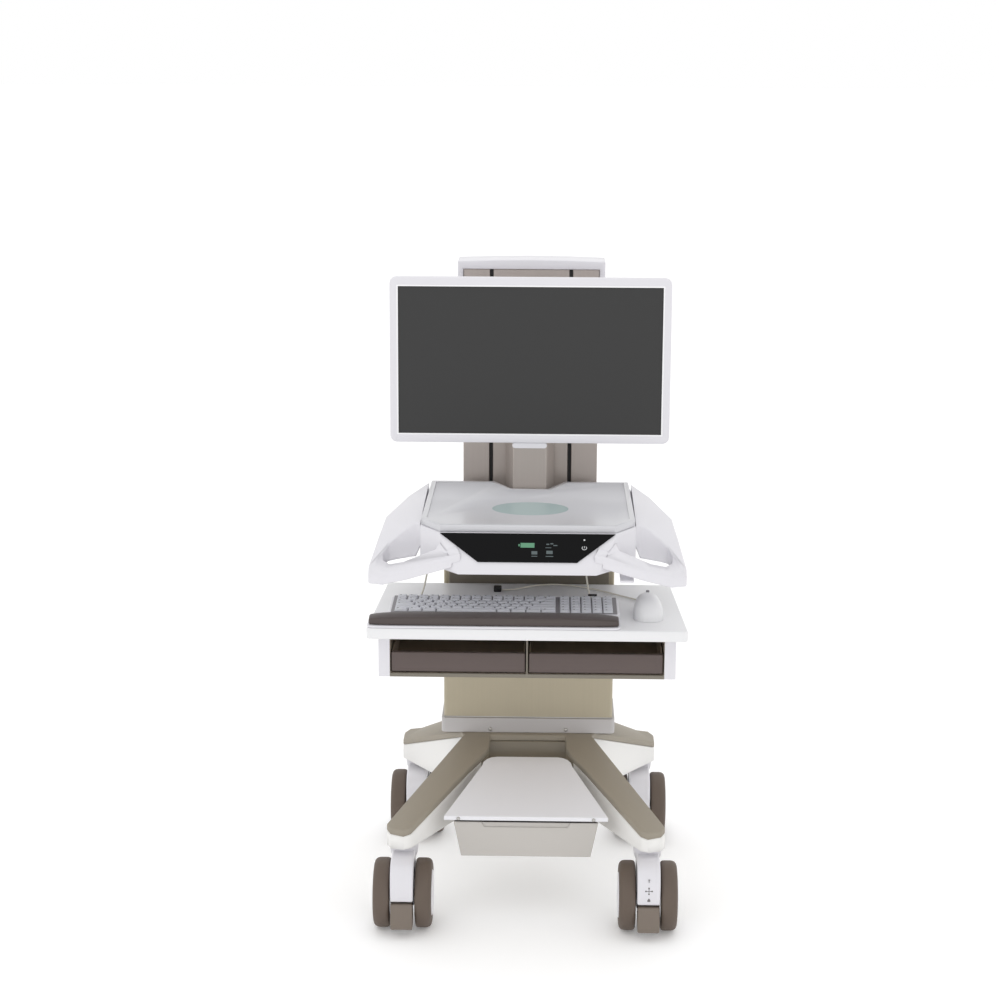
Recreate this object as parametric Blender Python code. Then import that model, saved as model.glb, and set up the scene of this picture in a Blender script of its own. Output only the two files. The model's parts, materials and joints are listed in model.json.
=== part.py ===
"""Height-adjustable medication cart with a display, keyboard tray, drawers and a base bin.

Metres, +Z up. The origin is on the floor under the cart's middle, and the user stands at -Y.
"""
import math

import bmesh
import bpy
from mathutils import Matrix, Vector

# ---- driving dimensions -------------------------------------------------------------------------
GAP = 0.0003                # clearance between pieces that touch
ORIGIN_SHIFT = 0.0280       # moves the drawing so that the origin is under the middle of the cart

WHEEL_RADIUS = 0.0625
TYRE_WIDTH = 0.030
HOUSING_WIDTH = 0.042
CASTER_TRAIL = 0.030        # axle in front of the swivel axis
SWIVEL_X = 0.220
SWIVEL_Y = 0.235
STEM_RADIUS = 0.026
AXLE_RADIUS = 0.006
HUB_RADIUS = 0.042

ARM_BOTTOM = 0.150          # underside of the base arms
ARM_TIP_TOP = 0.190
HUB_TOP = 0.2665
HUB_FRONT_MARGIN = 0.017     # how far the hub runs out past the column in front
HUB_BACK_MARGIN = 0.025
COVER_THICKNESS = 0.012

COLUMN_WIDTH = 0.321
COLUMN_DEPTH = 0.130
COLUMN_FRONT = 0.035
COLUMN_Y = COLUMN_FRONT + COLUMN_DEPTH / 2
COLUMN_TOP = 0.640
COLUMN_WALL = 0.006
COLLAR_HEIGHT = 0.029
COLLAR_MARGIN = 0.0045
STAGE_CLEARANCE = 0.002
STAGE_STEP = 0.005          # how much further each inner stage stands up at the top

MAST_WIDTH = 0.2516
MAST_FRONT = 0.090
MAST_DEPTH = 0.060
MAST_WALL = 0.004
MAST_TOP = 1.147
SLOT_X = 0.0736
SLOT_WIDTH = 0.0068
SLOT_DEPTH = 0.010
CAP_WIDTH = 0.273
CAP_TOP = 1.165
CAP_CLEARANCE = 0.0005

POST_FRONT = 0.010
POST_FRONT_WIDTH = 0.061
POST_BACK_WIDTH = 0.0906
POST_TOP = 1.030

HEAD_WIDTH = 0.378
HEAD_BACK = 0.070
HEAD_BOTTOM = 0.674
HEAD_TOP = 0.738
SURFACE_THICKNESS = 0.0125
PANEL_THICKNESS = 0.003

HANDLE_GAP = 0.0005         # seam between each handle and the head
WING_DROOP = 0.15            # how fast the wings' underside falls away from the head
HANDLE_DROP = 0.020         # thickness of the side handles

LEVER_X = 0.172
LEVER_WIDTH = 0.024
LEVER_BACK = -0.225
LEVER_LENGTH = 0.100
LEVER_THICKNESS = 0.0035
LEVER_DROOP = 0.009

CABINET_WIDTH = 0.525
CABINET_FRONT = -0.260
CABINET_BACK = 0.030
CABINET_BOTTOM = 0.467
CABINET_TOP = 0.550
CABINET_SIDE = 0.021
DRAWER_CLEARANCE = 0.0015
DRAWER_FRONT_HEIGHT = 0.036
DRAWER_WALL = 0.002

TRAY_THICKNESS = 0.0197
TRAY_FRONT = -0.310
TRAY_BACK = 0.000
TRAY_WIDTH = 0.559
TRAY_TAPER = 0.033          # narrower at the back by this much

KEY_PITCH = 0.01905
KEYBOARD_LEFT = -0.245
KEYBOARD_RIGHT = 0.163
KEYBOARD_FRONT = -0.261
KEYBOARD_BACK = -0.150
KEYBOARD_HEIGHT = 0.015
KEY_HEIGHT = 0.004
KEY_MAT = 0.001
WRIST_LEFT = -0.279
WRIST_HEIGHT = 0.018

MONITOR_WIDTH = 0.506
MONITOR_HEIGHT = 0.3015
MONITOR_BOTTOM = 0.850
MONITOR_FRONT = -0.060
MONITOR_DEPTH = 0.034
SCREEN_WIDTH = 0.476
SCREEN_HEIGHT = 0.268
BEZEL_DEPTH = 0.012

LID_FRONT = -0.240
LID_BACK = -0.055
LID_FRONT_WIDTH = 0.2974
LID_BACK_WIDTH = 0.168
LID_FRONT_Z = 0.199
LID_THICKNESS = 0.008
LID_SLOPE = 0.27            # rise of the lid and bin per metre towards the column
BIN_TOP_WIDTH = 0.262
BIN_BOTTOM_WIDTH = 0.235
BIN_FRONT = -0.2365
BIN_BACK = -0.060
BIN_BOTTOM = 0.122
BIN_WALL = 0.003

MOUSE_CORD_RADIUS = 0.0014
KEYBOARD_CORD_RADIUS = 0.0016


# ---- helpers ------------------------------------------------------------------------------------
def material(name, color, roughness, metallic=0.0):
    mat = bpy.data.materials.new(name)
    mat.use_nodes = True
    shader = mat.node_tree.nodes["Principled BSDF"]
    shader.inputs["Base Color"].default_value = (*color, 1.0)
    shader.inputs["Roughness"].default_value = roughness
    shader.inputs["Metallic"].default_value = metallic
    mat.diffuse_color = (*color, 1.0)
    return mat


def cart_root():
    """The empty that carries everything, made once."""
    if "cart" not in bpy.data.objects:
        root = bpy.data.objects.new("cart", None)
        bpy.context.scene.collection.objects.link(root)
        root["place"] = (0.0, 0.0, 0.0)
        root.location = (0.0, ORIGIN_SHIFT, 0.0)
    return bpy.data.objects["cart"]


def pivot(name, location, parent=None):
    """An empty on a joint's axis, with its place in the drawing kept for its children."""
    parent = parent or cart_root()
    empty = bpy.data.objects.new(name, None)
    bpy.context.scene.collection.objects.link(empty)
    empty.parent = parent
    empty["place"] = location
    empty.location = Vector(location) - Vector(parent["place"])
    return empty


def place(name, bm, mat, parent=None, smooth=None):
    """Turn a bmesh drawn in the cart's coordinates into an object whose origin is its parent's."""
    parent = parent or cart_root()
    bmesh.ops.recalc_face_normals(bm, faces=bm.faces[:])
    bmesh.ops.translate(bm, verts=bm.verts[:], vec=-Vector(parent["place"]))
    mesh = bpy.data.meshes.new(name)
    bm.to_mesh(mesh)
    bm.free()
    obj = bpy.data.objects.new(name, mesh)
    bpy.context.scene.collection.objects.link(obj)
    obj.parent = parent
    mesh.materials.append(mat)
    if smooth is not None:
        mesh.shade_smooth()
        mesh.set_sharp_from_angle(angle=math.radians(smooth))
    return obj


def bevel(obj, width, segments=2, angle=35):
    mod = obj.modifiers.new("Edges", "BEVEL")
    mod.width = width
    mod.segments = segments
    mod.limit_method = "ANGLE"
    mod.angle_limit = math.radians(angle)
    return obj


def add_box(bm, low, high):
    size = Vector(high) - Vector(low)
    middle = (Vector(high) + Vector(low)) / 2
    matrix = Matrix.Translation(middle) @ Matrix.Diagonal((*size, 1.0))
    bmesh.ops.create_cube(bm, size=1.0, matrix=matrix)


def box(low, high):
    bm = bmesh.new()
    add_box(bm, low, high)
    return bm


def add_loft(bm, loops, closed_ends=True):
    """Join loops of equally many points, the first and last filled."""
    rings = [[bm.verts.new(point) for point in loop] for loop in loops]
    count = len(rings[0])
    for lower, upper in zip(rings, rings[1:]):
        for i in range(count):
            j = (i + 1) % count
            bm.faces.new((lower[i], lower[j], upper[j], upper[i]))
    if closed_ends:
        bm.faces.new(list(reversed(rings[0])))
        bm.faces.new(rings[-1])
    return rings


def loft(loops):
    bm = bmesh.new()
    add_loft(bm, loops)
    return bm


def add_tube(bm, outer, inner, low, high):
    """A straight wall between two outlines of equally many (x, y) points."""
    loops = [[(x, y, low) for x, y in outer], [(x, y, high) for x, y in outer],
             [(x, y, high) for x, y in inner], [(x, y, low) for x, y in inner]]
    rings = add_loft(bm, loops, closed_ends=False)
    count = len(outer)
    for i in range(count):
        j = (i + 1) % count
        bm.faces.new((rings[3][i], rings[3][j], rings[0][j], rings[0][i]))


def rounded(x0, x1, y0, y1, radius, steps=4):
    """Outline of a rectangle with round corners, anticlockwise from above."""
    corners = [(x1 - radius, y1 - radius, 0), (x0 + radius, y1 - radius, 90),
               (x0 + radius, y0 + radius, 180), (x1 - radius, y0 + radius, 270)]
    points = []
    for cx, cy, start in corners:
        for step in range(steps + 1):
            angle = math.radians(start + 90 * step / steps)
            points.append((cx + radius * math.cos(angle), cy + radius * math.sin(angle)))
    return points


def turned(profile, segments, axis_x, centre):
    """Solid of revolution about a line along X; profile is a closed list of (x, radius)."""
    bm = bmesh.new()
    _, cy, cz = centre
    rings = []
    for step in range(segments):
        angle = 2 * math.pi * step / segments
        rings.append([bm.verts.new((axis_x + x, cy + r * math.cos(angle), cz + r * math.sin(angle)))
                      for x, r in profile])
    count = len(profile)
    for step in range(segments):
        here, after = rings[step], rings[(step + 1) % segments]
        for i in range(count):
            j = (i + 1) % count
            bm.faces.new((here[i], here[j], after[j], after[i]))
    return bm


def spindle(half_profile, segments, axis_x, centre):
    """A solid turned about a line along X from an open (x, radius) profile, mirrored at its start."""
    profile = [(-x, r) for x, r in reversed(half_profile[1:])] + half_profile[1:]
    _, cy, cz = centre
    bm = bmesh.new()
    rings = []
    for x, r in profile[1:-1]:
        rings.append([bm.verts.new((axis_x + x, cy + r * math.cos(2 * math.pi * step / segments),
                                    cz + r * math.sin(2 * math.pi * step / segments)))
                      for step in range(segments)])
    for ring, after in zip(rings, rings[1:]):
        for i in range(segments):
            j = (i + 1) % segments
            bm.faces.new((ring[i], ring[j], after[j], after[i]))
    bm.faces.new(rings[0][::-1])
    bm.faces.new(rings[-1])
    return bm


def add_rod(bm, start, end, radius, segments=16):
    start, end = Vector(start), Vector(end)
    along = end - start
    turn = along.to_track_quat("Z", "Y").to_matrix().to_4x4()
    matrix = Matrix.Translation((start + end) / 2) @ turn
    bmesh.ops.create_cone(bm, cap_ends=True, segments=segments, radius1=radius, radius2=radius,
                          depth=along.length, matrix=matrix)


def rod(start, end, radius, segments=16):
    bm = bmesh.new()
    add_rod(bm, start, end, radius, segments)
    return bm


def cut(obj, cutter_bm, name, operation="DIFFERENCE"):
    """Boolean with a hidden cutter drawn in the cart's coordinates."""
    cutter = place(name, cutter_bm, obj.data.materials[0])
    cutter.hide_render = True
    cutter.display_type = "WIRE"
    mod = obj.modifiers.new(name, "BOOLEAN")
    mod.operation = operation
    mod.object = cutter
    mod.solver = "EXACT"
    return obj


def cord(name, points, radius, mat, parent, samples):
    """A tube through a smooth curve read from the route's points."""
    route = [Vector(p) for p in points]
    start = Vector(parent["place"])
    ends = [route[0] * 2 - route[1]] + route + [route[-1] * 2 - route[-2]]
    smooth = []
    for i in range(1, len(ends) - 2):
        p0, p1, p2, p3 = ends[i - 1:i + 3]
        for step in range(samples):
            t = step / samples
            smooth.append(0.5 * (2 * p1 + (p2 - p0) * t + (2 * p0 - 5 * p1 + 4 * p2 - p3) * t ** 2
                                 + (3 * p1 - p0 - 3 * p2 + p3) * t ** 3))
    smooth.append(route[-1])
    curve = bpy.data.curves.new(name, "CURVE")
    curve.dimensions = "3D"
    curve.bevel_depth = radius
    curve.bevel_resolution = 2
    curve.use_fill_caps = True
    spline = curve.splines.new("POLY")
    spline.points.add(len(smooth) - 1)
    for point, at in zip(spline.points, smooth):
        point.co = (*(at - start), 1.0)
    obj = bpy.data.objects.new(name, curve)
    bpy.context.scene.collection.objects.link(obj)
    obj.parent = parent
    curve.materials.append(mat)
    return obj


# ---- materials ----------------------------------------------------------------------------------
def make_materials():
    return {
        "white": material("white_plastic", (0.82, 0.82, 0.84), 0.35),
        "taupe": material("taupe_plastic", (0.29, 0.25, 0.20), 0.5),
        "rubber": material("tyre_rubber", (0.14, 0.115, 0.09), 0.7),
        "steel": material("axle_steel", (0.55, 0.55, 0.56), 0.3, 1.0),
        "brushed": material("brushed_column", (0.36, 0.33, 0.27), 0.4, 0.8),
        "mast": material("brushed_mast", (0.42, 0.37, 0.35), 0.35, 0.8),
        "grey": material("grey_plastic", (0.62, 0.60, 0.62), 0.45),
        "bin": material("bin_plastic", (0.50, 0.48, 0.45), 0.45),
        "black": material("black_gloss", (0.012, 0.012, 0.015), 0.15),
        "dark": material("dark_seal", (0.02, 0.02, 0.02), 0.6),
        "clear": material("clear_cover", (0.80, 0.83, 0.84), 0.15),
        "front": material("drawer_front", (0.30, 0.25, 0.24), 0.4, 0.4),
        "screen": material("screen_glass", (0.055, 0.055, 0.055), 0.2),
        "keys": material("key_plastic", (0.78, 0.79, 0.82), 0.5),
        "pad": material("wrist_foam", (0.08, 0.065, 0.06), 0.6),
        "cord": material("cord_plastic", (0.75, 0.73, 0.66), 0.5),
    }


# ---- base ---------------------------------------------------------------------------------------
def arm_rise(y):
    """Height of the front arms' top at y."""
    start = COLUMN_FRONT - HUB_FRONT_MARGIN + 0.002
    slope = (HUB_TOP - ARM_TIP_TOP) / (start + SWIVEL_Y + 0.035)
    return min(HUB_TOP, HUB_TOP - slope * (start - y))


def base_outline():
    """Plan regions of one half (x < 0) of the base, each a list of (x, y, top)."""
    tip = ARM_TIP_TOP
    front_tip_x = -SWIVEL_X - STEM_RADIUS - 0.004
    rear_tip_y = SWIVEL_Y + STEM_RADIUS + 0.022
    hub_front = COLUMN_FRONT - HUB_FRONT_MARGIN
    hub_back = COLUMN_Y + COLUMN_DEPTH / 2 + HUB_BACK_MARGIN
    shoulder = hub_front + 0.018
    hub = [(0.0, hub_front, HUB_TOP), (0.0, hub_back, HUB_TOP), (-0.090, hub_back, HUB_TOP),
           (-0.128, shoulder, HUB_TOP), (-0.122, hub_front, HUB_TOP), (-0.072, hub_front, HUB_TOP)]
    front = [(-0.072, hub_front), (-0.122, hub_front), (front_tip_x, -SWIVEL_Y - 0.028),
             (front_tip_x + 0.007, -SWIVEL_Y - 0.040), (-SWIVEL_X + 0.002, -SWIVEL_Y - 0.048),
             (-SWIVEL_X + 0.015, -SWIVEL_Y - 0.040), (-0.1085, -0.090), (-0.0865, -0.052),
             (-0.074, -0.025)]
    front = [(x, y, arm_rise(y)) for x, y in front]
    rear = [(-0.090, hub_back, HUB_TOP), (-SWIVEL_X + 0.004, rear_tip_y, tip),
            (-SWIVEL_X - 0.020, rear_tip_y - 0.008, tip),
            (front_tip_x, SWIVEL_Y + 0.015, tip),
            (front_tip_x, SWIVEL_Y - 0.025, tip), (-0.128, shoulder, HUB_TOP)]
    return [hub, front, rear]


def base_solid(top_drop, bottom):
    """The X-shaped base between its top, lowered by top_drop, and bottom(z) below it."""
    bm = bmesh.new()
    made = {}

    def vert(x, y, z):
        key = (round(x, 5), round(y, 5))
        if key not in made:
            made[key] = bm.verts.new((x, y, z - top_drop))
        return made[key]

    for side in (1, -1):
        for region in base_outline():
            loop = [vert(side * x, y, z) for x, y, z in region]
            bm.faces.new(loop if side == 1 else loop[::-1])
    bmesh.ops.recalc_face_normals(bm, faces=bm.faces[:])
    top = bm.faces[:]
    grown = bmesh.ops.extrude_face_region(bm, geom=top)
    for vertex in grown["geom"]:
        if isinstance(vertex, bmesh.types.BMVert):
            vertex.co.z = bottom(vertex.co.z)
    bmesh.ops.triangulate(bm, faces=bm.faces[:])
    return bm


def make_base(mats):
    cover = place("base_cover", base_solid(0.0, lambda z: z - COVER_THICKNESS), mats["taupe"])
    bevel(cover, 0.0025, 2, 50)
    frame = place("base_frame", base_solid(COVER_THICKNESS + GAP, lambda z: ARM_BOTTOM), mats["white"])
    bevel(frame, 0.0015, 1, 50)
    half_width = COLUMN_WIDTH / 2 + COLLAR_MARGIN
    half_depth = COLUMN_DEPTH / 2 + COLLAR_MARGIN
    outer = rounded(-half_width, half_width, COLUMN_Y - half_depth, COLUMN_Y + half_depth, 0.008, 3)
    inner_x = COLUMN_WIDTH / 2 - COLUMN_WALL
    inner_y = COLUMN_DEPTH / 2 - COLUMN_WALL
    inner = rounded(-inner_x, inner_x, COLUMN_Y - inner_y, COLUMN_Y + inner_y, 0.004, 3)
    bm = bmesh.new()
    add_tube(bm, outer, inner, HUB_TOP + GAP, HUB_TOP + COLLAR_HEIGHT)
    place("column_collar", bm, mats["grey"], smooth=30)


def make_lid_and_bin(mats):
    """The sloping lid between the front arms, its rails, and the pull-out bin under it."""
    radius = 0.028
    back, front = LID_BACK_WIDTH / 2, LID_FRONT_WIDTH / 2
    outline = [(front, LID_FRONT), (back + 0.006, LID_BACK - radius)]
    for step in range(5):
        angle = math.radians(90 * step / 4)
        outline.append((back - radius + radius * math.cos(angle),
                        LID_BACK - radius + radius * math.sin(angle)))
    outline = outline[:1] + outline[2:]
    plan = outline + [(-x, y) for x, y in reversed(outline)]

    def lid_z(y):
        return LID_FRONT_Z + LID_SLOPE * (y - LID_FRONT)

    loops = [[(x, y, lid_z(y) - LID_THICKNESS) for x, y in plan], [(x, y, lid_z(y)) for x, y in plan]]
    lid = place("bin_lid", loft(loops), mats["white"])
    bevel(lid, 0.001, 1, 50)
    rail_x = 0.074
    rim_drop = LID_THICKNESS + 0.005
    under = LID_THICKNESS + GAP
    plate, foot = under + 0.0015, rim_drop - GAP
    section = [(-rail_x, under), (rail_x, under), (rail_x, foot), (rail_x - 0.008, foot),
               (rail_x - 0.008, plate), (-rail_x + 0.008, plate), (-rail_x + 0.008, foot), (-rail_x, foot)]
    rails = loft([[(x, y, lid_z(y) - drop) for x, drop in section] for y in (-0.200, -0.070)])
    place("bin_rails", rails, mats["steel"])

    slide = pivot("bin_slide", (0.0, BIN_FRONT, BIN_BOTTOM))
    wide, narrow = BIN_TOP_WIDTH / 2, BIN_BOTTOM_WIDTH / 2
    back_wide, back_narrow = 0.078, 0.072

    def ring(front_half, back_half, inset, z_front, z_back, slope=0.0):
        f, b = front_half - inset, back_half - inset
        y0, y1 = BIN_FRONT + inset, BIN_BACK - inset
        z0, z1 = z_front + slope * inset, z_back - slope * inset
        return [(-f, y0, z0), (f, y0, z0), (b, y1, z1), (-b, y1, z1)]

    rim_front = lid_z(BIN_FRONT) - rim_drop
    rim_back = lid_z(BIN_BACK) - rim_drop
    loops = [ring(narrow, back_narrow, 0.0, BIN_BOTTOM, BIN_BOTTOM + 0.022),
             ring(wide, back_wide, 0.0, rim_front, rim_back),
             ring(wide, back_wide, BIN_WALL, rim_front, rim_back, LID_SLOPE),
             ring(narrow, back_narrow, BIN_WALL, BIN_BOTTOM + BIN_WALL, BIN_BOTTOM + 0.022 + BIN_WALL)]
    tub = loft(loops)
    bmesh.ops.triangulate(tub, faces=tub.faces[:])
    bin_box = place("storage_bin", tub, mats["bin"], slide)
    notch = loft([[(-0.075, BIN_FRONT - 0.01, rim_front - 0.009), (0.075, BIN_FRONT - 0.01, rim_front - 0.009),
                   (0.092, BIN_FRONT - 0.01, rim_front + 0.02), (-0.092, BIN_FRONT - 0.01, rim_front + 0.02)],
                  [(-0.075, BIN_FRONT + 0.01, rim_front - 0.009), (0.075, BIN_FRONT + 0.01, rim_front - 0.009),
                   (0.092, BIN_FRONT + 0.01, rim_front + 0.02), (-0.092, BIN_FRONT + 0.01, rim_front + 0.02)]])
    cut(bin_box, notch, "bin_finger_notch")


# ---- casters ------------------------------------------------------------------------------------
def make_caster(mats, tag, side_x, side_y):
    swivel_at = (side_x * SWIVEL_X, side_y * SWIVEL_Y, WHEEL_RADIUS)
    swivel = pivot("swivel_" + tag, swivel_at)
    sx, sy, _ = swivel_at
    axle_y = sy - CASTER_TRAIL
    axle_at = (sx, axle_y, WHEEL_RADIUS)
    wheel = pivot("roll_" + tag, axle_at, swivel)
    half = HOUSING_WIDTH / 2
    stem_top = ARM_BOTTOM - GAP

    profile = [(0.024, 0.136), (0.020, 0.105), (0.000, 0.080), (-0.010, 0.050), (-0.030, 0.040),
               (-0.058, 0.044), (-0.065, 0.066), (-0.0905, 0.0675), (-0.0925, 0.100), (-0.084, 0.124),
               (-0.062, 0.136)]
    loops = [[(sx + x, sy + y, z) for y, z in profile] for x in (-half, half)]
    fork = place("caster_fork_" + tag, loft(loops), mats["white"], swivel, 35)
    bevel(fork, 0.003, 2, 40)
    stem = rod((sx, sy, 0.128), (sx, sy, stem_top), STEM_RADIUS, 24)
    cut(fork, stem, "stem_" + tag, "UNION")
    bore = rod((sx - half * 2, axle_y, WHEEL_RADIUS), (sx + half * 2, axle_y, WHEEL_RADIUS),
               AXLE_RADIUS + GAP, 16)
    cut(fork, bore, "axle_bore_" + tag)

    inner_face = half + 0.0015
    outer_face = inner_face + TYRE_WIDTH
    r, h = WHEEL_RADIUS, HUB_RADIUS
    tyre = [(inner_face, h), (inner_face, r - 0.007), (inner_face + 0.002, r - 0.002),
            (inner_face + 0.007, r), (outer_face - 0.009, r), (outer_face - 0.003, r - 0.003),
            (outer_face, r - 0.009), (outer_face, h)]
    for kind, side in (("inner", -side_x), ("outer", side_x)):
        shape = turned([(side * x, radius) for x, radius in tyre], 28, sx, axle_at)
        place("caster_tyre_" + kind + "_" + tag, shape, mats["rubber"], wheel, 35)
    half_core = [(0.0, AXLE_RADIUS), (inner_face + 0.001, AXLE_RADIUS), (inner_face + 0.001, h - GAP),
                 (outer_face - 0.0005, h - GAP), (outer_face + 0.0015, h - 0.006),
                 (outer_face + 0.0025, h * 0.5), (outer_face + 0.0025, 0.0)]
    place("caster_hub_" + tag, spindle(half_core, 28, sx, axle_at), mats["white"], wheel, 35)

    pedal_pivot = pivot("pedal_" + tag, (sx, sy - 0.072, 0.070), swivel)
    outline = [(-0.0915, 0.0635), (-0.0695, 0.0635), (-0.0640, 0.045), (-0.066, 0.030), (-0.072, 0.018),
               (-0.098, 0.018), (-0.104, 0.026), (-0.100, 0.046)]
    width = half - 0.0015
    loops = [[(sx + x, sy + y, z) for y, z in outline] for x in (-width, width)]
    pedal = place("caster_pedal_" + tag, loft(loops), mats["taupe"], pedal_pivot, 35)
    bevel(pedal, 0.002, 2, 40)


# ---- column -------------------------------------------------------------------------------------
def stage_outline(inset, radius):
    half_x = COLUMN_WIDTH / 2 - inset
    half_y = COLUMN_DEPTH / 2 - inset
    return rounded(-half_x, half_x, COLUMN_Y - half_y, COLUMN_Y + half_y, radius, 3)


def make_column(mats):
    outer_bottom = HUB_TOP + COLLAR_HEIGHT + GAP
    bm = bmesh.new()
    add_tube(bm, stage_outline(0.0, 0.006), stage_outline(COLUMN_WALL, 0.003), outer_bottom, COLUMN_TOP)
    place("column_outer", bm, mats["brushed"], smooth=30)
    inset = COLUMN_WALL + STAGE_CLEARANCE
    middle = pivot("lift_middle", (0.0, COLUMN_Y, outer_bottom))
    bm = bmesh.new()
    add_tube(bm, stage_outline(inset, 0.004), stage_outline(inset + 0.005, 0.002),
             outer_bottom + 0.004, COLUMN_TOP + STAGE_STEP)
    place("column_middle", bm, mats["brushed"], middle, 30)


def make_mast(mats, lift):
    half = MAST_WIDTH / 2
    low = HUB_TOP + COLLAR_HEIGHT + 0.015
    front, back = MAST_FRONT, MAST_FRONT + MAST_DEPTH
    slot0, slot1 = SLOT_X - SLOT_WIDTH / 2, SLOT_X + SLOT_WIDTH / 2
    right = [(slot0, front), (slot0, front + SLOT_DEPTH), (slot1, front + SLOT_DEPTH), (slot1, front),
             (half, front), (half, back)]
    plan = right + [(-x, y) for x, y in reversed(right)]
    mast = place("column_mast", loft([[(x, y, z) for x, y in plan] for z in (low, MAST_TOP)]),
                 mats["mast"], lift)
    bevel(mast, 0.0008, 1, 50)
    hollow = box((-half + MAST_WALL, front + SLOT_DEPTH + MAST_WALL, low - 0.01),
                 (half - MAST_WALL, back - MAST_WALL, MAST_TOP - MAST_WALL))
    cut(mast, hollow, "mast_hollow")
    reach = SLOT_WIDTH / 2 - GAP
    for tag, side in (("left", -1), ("right", 1)):
        centre = side * SLOT_X
        seal = box((centre - reach, front + 0.004, low + 0.02),
                   (centre + reach, front + SLOT_DEPTH - 0.001, MAST_TOP - 0.001))
        place("mast_slot_seal_" + tag, seal, mats["dark"], lift)
    cap_half = CAP_WIDTH / 2
    crown = [(-cap_half, CAP_TOP - 0.003), (-cap_half * 0.5, CAP_TOP - 0.0007), (0.0, CAP_TOP),
             (cap_half * 0.5, CAP_TOP - 0.0007), (cap_half, CAP_TOP - 0.003)]
    profile = crown + [(cap_half, MAST_TOP - 0.060), (half + CAP_CLEARANCE, MAST_TOP - 0.060),
                       (half + CAP_CLEARANCE, MAST_TOP + CAP_CLEARANCE),
                       (-half - CAP_CLEARANCE, MAST_TOP + CAP_CLEARANCE),
                       (-half - CAP_CLEARANCE, MAST_TOP - 0.060), (-cap_half, MAST_TOP - 0.060)]
    loops = [[(x, y, z) for x, z in profile] for y in (front - 0.003, back + 0.004)]
    cap = place("mast_cap", loft(loops), mats["white"], lift)
    bevel(cap, 0.002, 2, 40)


def make_post(mats, lift):
    f, b = POST_FRONT_WIDTH / 2, POST_BACK_WIDTH / 2
    back = MAST_FRONT - GAP
    plan = [(-b, back), (-b, back - 0.030), (-f, POST_FRONT), (f, POST_FRONT), (b, back - 0.030), (b, back)]
    low = HEAD_TOP + 0.0015
    post = place("display_post", loft([[(x, y, z) for x, y in plan] for z in (low, POST_TOP)]),
                 mats["mast"], lift)
    bevel(post, 0.0012, 1, 30)
    wall = MAST_WALL
    core = [(-b + wall, back - wall), (-b + wall, back - 0.029), (-f + wall, POST_FRONT + wall),
            (f - wall, POST_FRONT + wall), (b - wall, back - 0.029), (b - wall, back - wall)]
    cut(post, loft([[(x, y, z) for x, y in core] for z in (low - 0.01, POST_TOP - wall)]), "post_hollow")


# ---- head ---------------------------------------------------------------------------------------
def head_loops(grow=0.0):
    half = HEAD_WIDTH / 2 + grow
    back = HEAD_BACK
    top = [(-half, back), (-half, -0.235 - grow), (-0.155 - grow, -0.289 - grow),
           (0.155 + grow, -0.289 - grow), (half, -0.235 - grow), (half, back)]
    bottom = [(-half, back), (-half, -0.250 - grow), (-0.120 - grow, -0.333 - grow),
              (0.120 + grow, -0.333 - grow), (half, -0.250 - grow), (half, back)]
    return top, bottom


def panel_solid(grow, near, far):
    """The trapezoid control panel, between two distances off the head's sloping front."""
    top, bottom = head_loops()
    start = Vector((0.0, top[2][1], HEAD_TOP))
    slope = Vector((0.0, bottom[2][1] - top[2][1], HEAD_BOTTOM - HEAD_TOP))
    normal = Vector((0.0, slope.z, -slope.y)).normalized()
    corners = [(-0.152 - grow, 0.02), (0.152 + grow, 0.02), (0.0855 + grow, 0.70), (-0.0855 - grow, 0.70)]
    return loft([[Vector((x, 0.0, 0.0)) + start + slope * down + normal * off for x, down in corners]
                 for off in (near, far)])


def make_head(mats, lift):
    top, bottom = head_loops()
    loops = [[(x, y, HEAD_BOTTOM) for x, y in bottom], [(x, y, HEAD_TOP) for x, y in top]]
    core = place("head_shell", loft(loops), mats["white"], lift)
    bevel(core, 0.003, 2, 25)

    surface_low = HEAD_TOP + GAP
    surface_top = surface_low + SURFACE_THICKNESS
    half = HEAD_WIDTH / 2 - 0.0045
    notch = POST_FRONT_WIDTH / 2 + 0.003
    notch_back = POST_BACK_WIDTH / 2 + 0.008
    right = [(notch, POST_FRONT - 0.004), (notch_back, POST_FRONT + 0.034),
             (notch_back + 0.012, HEAD_BACK - 0.002),
             (half, HEAD_BACK - 0.002), (half + 0.003, -0.234), (0.153, -0.286)]
    plan = right + [(-x, y) for x, y in reversed(right)]
    surface = place("worksurface", loft([[(x, y, z) for x, y in plan] for z in (surface_low, surface_top)]),
                    mats["clear"], lift)
    bevel(surface, 0.002, 2, 40)
    inner = [(notch + 0.006, POST_FRONT - 0.014), (notch_back + 0.008, POST_FRONT + 0.030),
             (notch_back + 0.018, HEAD_BACK - 0.012), (half - 0.009, HEAD_BACK - 0.012),
             (half - 0.007, -0.231), (0.1495, -0.276)]
    floor = inner + [(-x, y) for x, y in reversed(inner)]
    recess = loft([[(x, y, z) for x, y in floor] for z in (surface_top - 0.002, surface_top + 0.01)])
    cut(surface, recess, "surface_recess")

    place("control_panel", panel_solid(0.0, GAP, GAP + PANEL_THICKNESS), mats["black"], lift)

    back = MAST_FRONT - GAP
    place("head_bracket", box((-0.080, HEAD_BACK + GAP, HEAD_BOTTOM - 0.014), (0.080, back, HEAD_TOP)),
          mats["grey"], lift)


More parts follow.
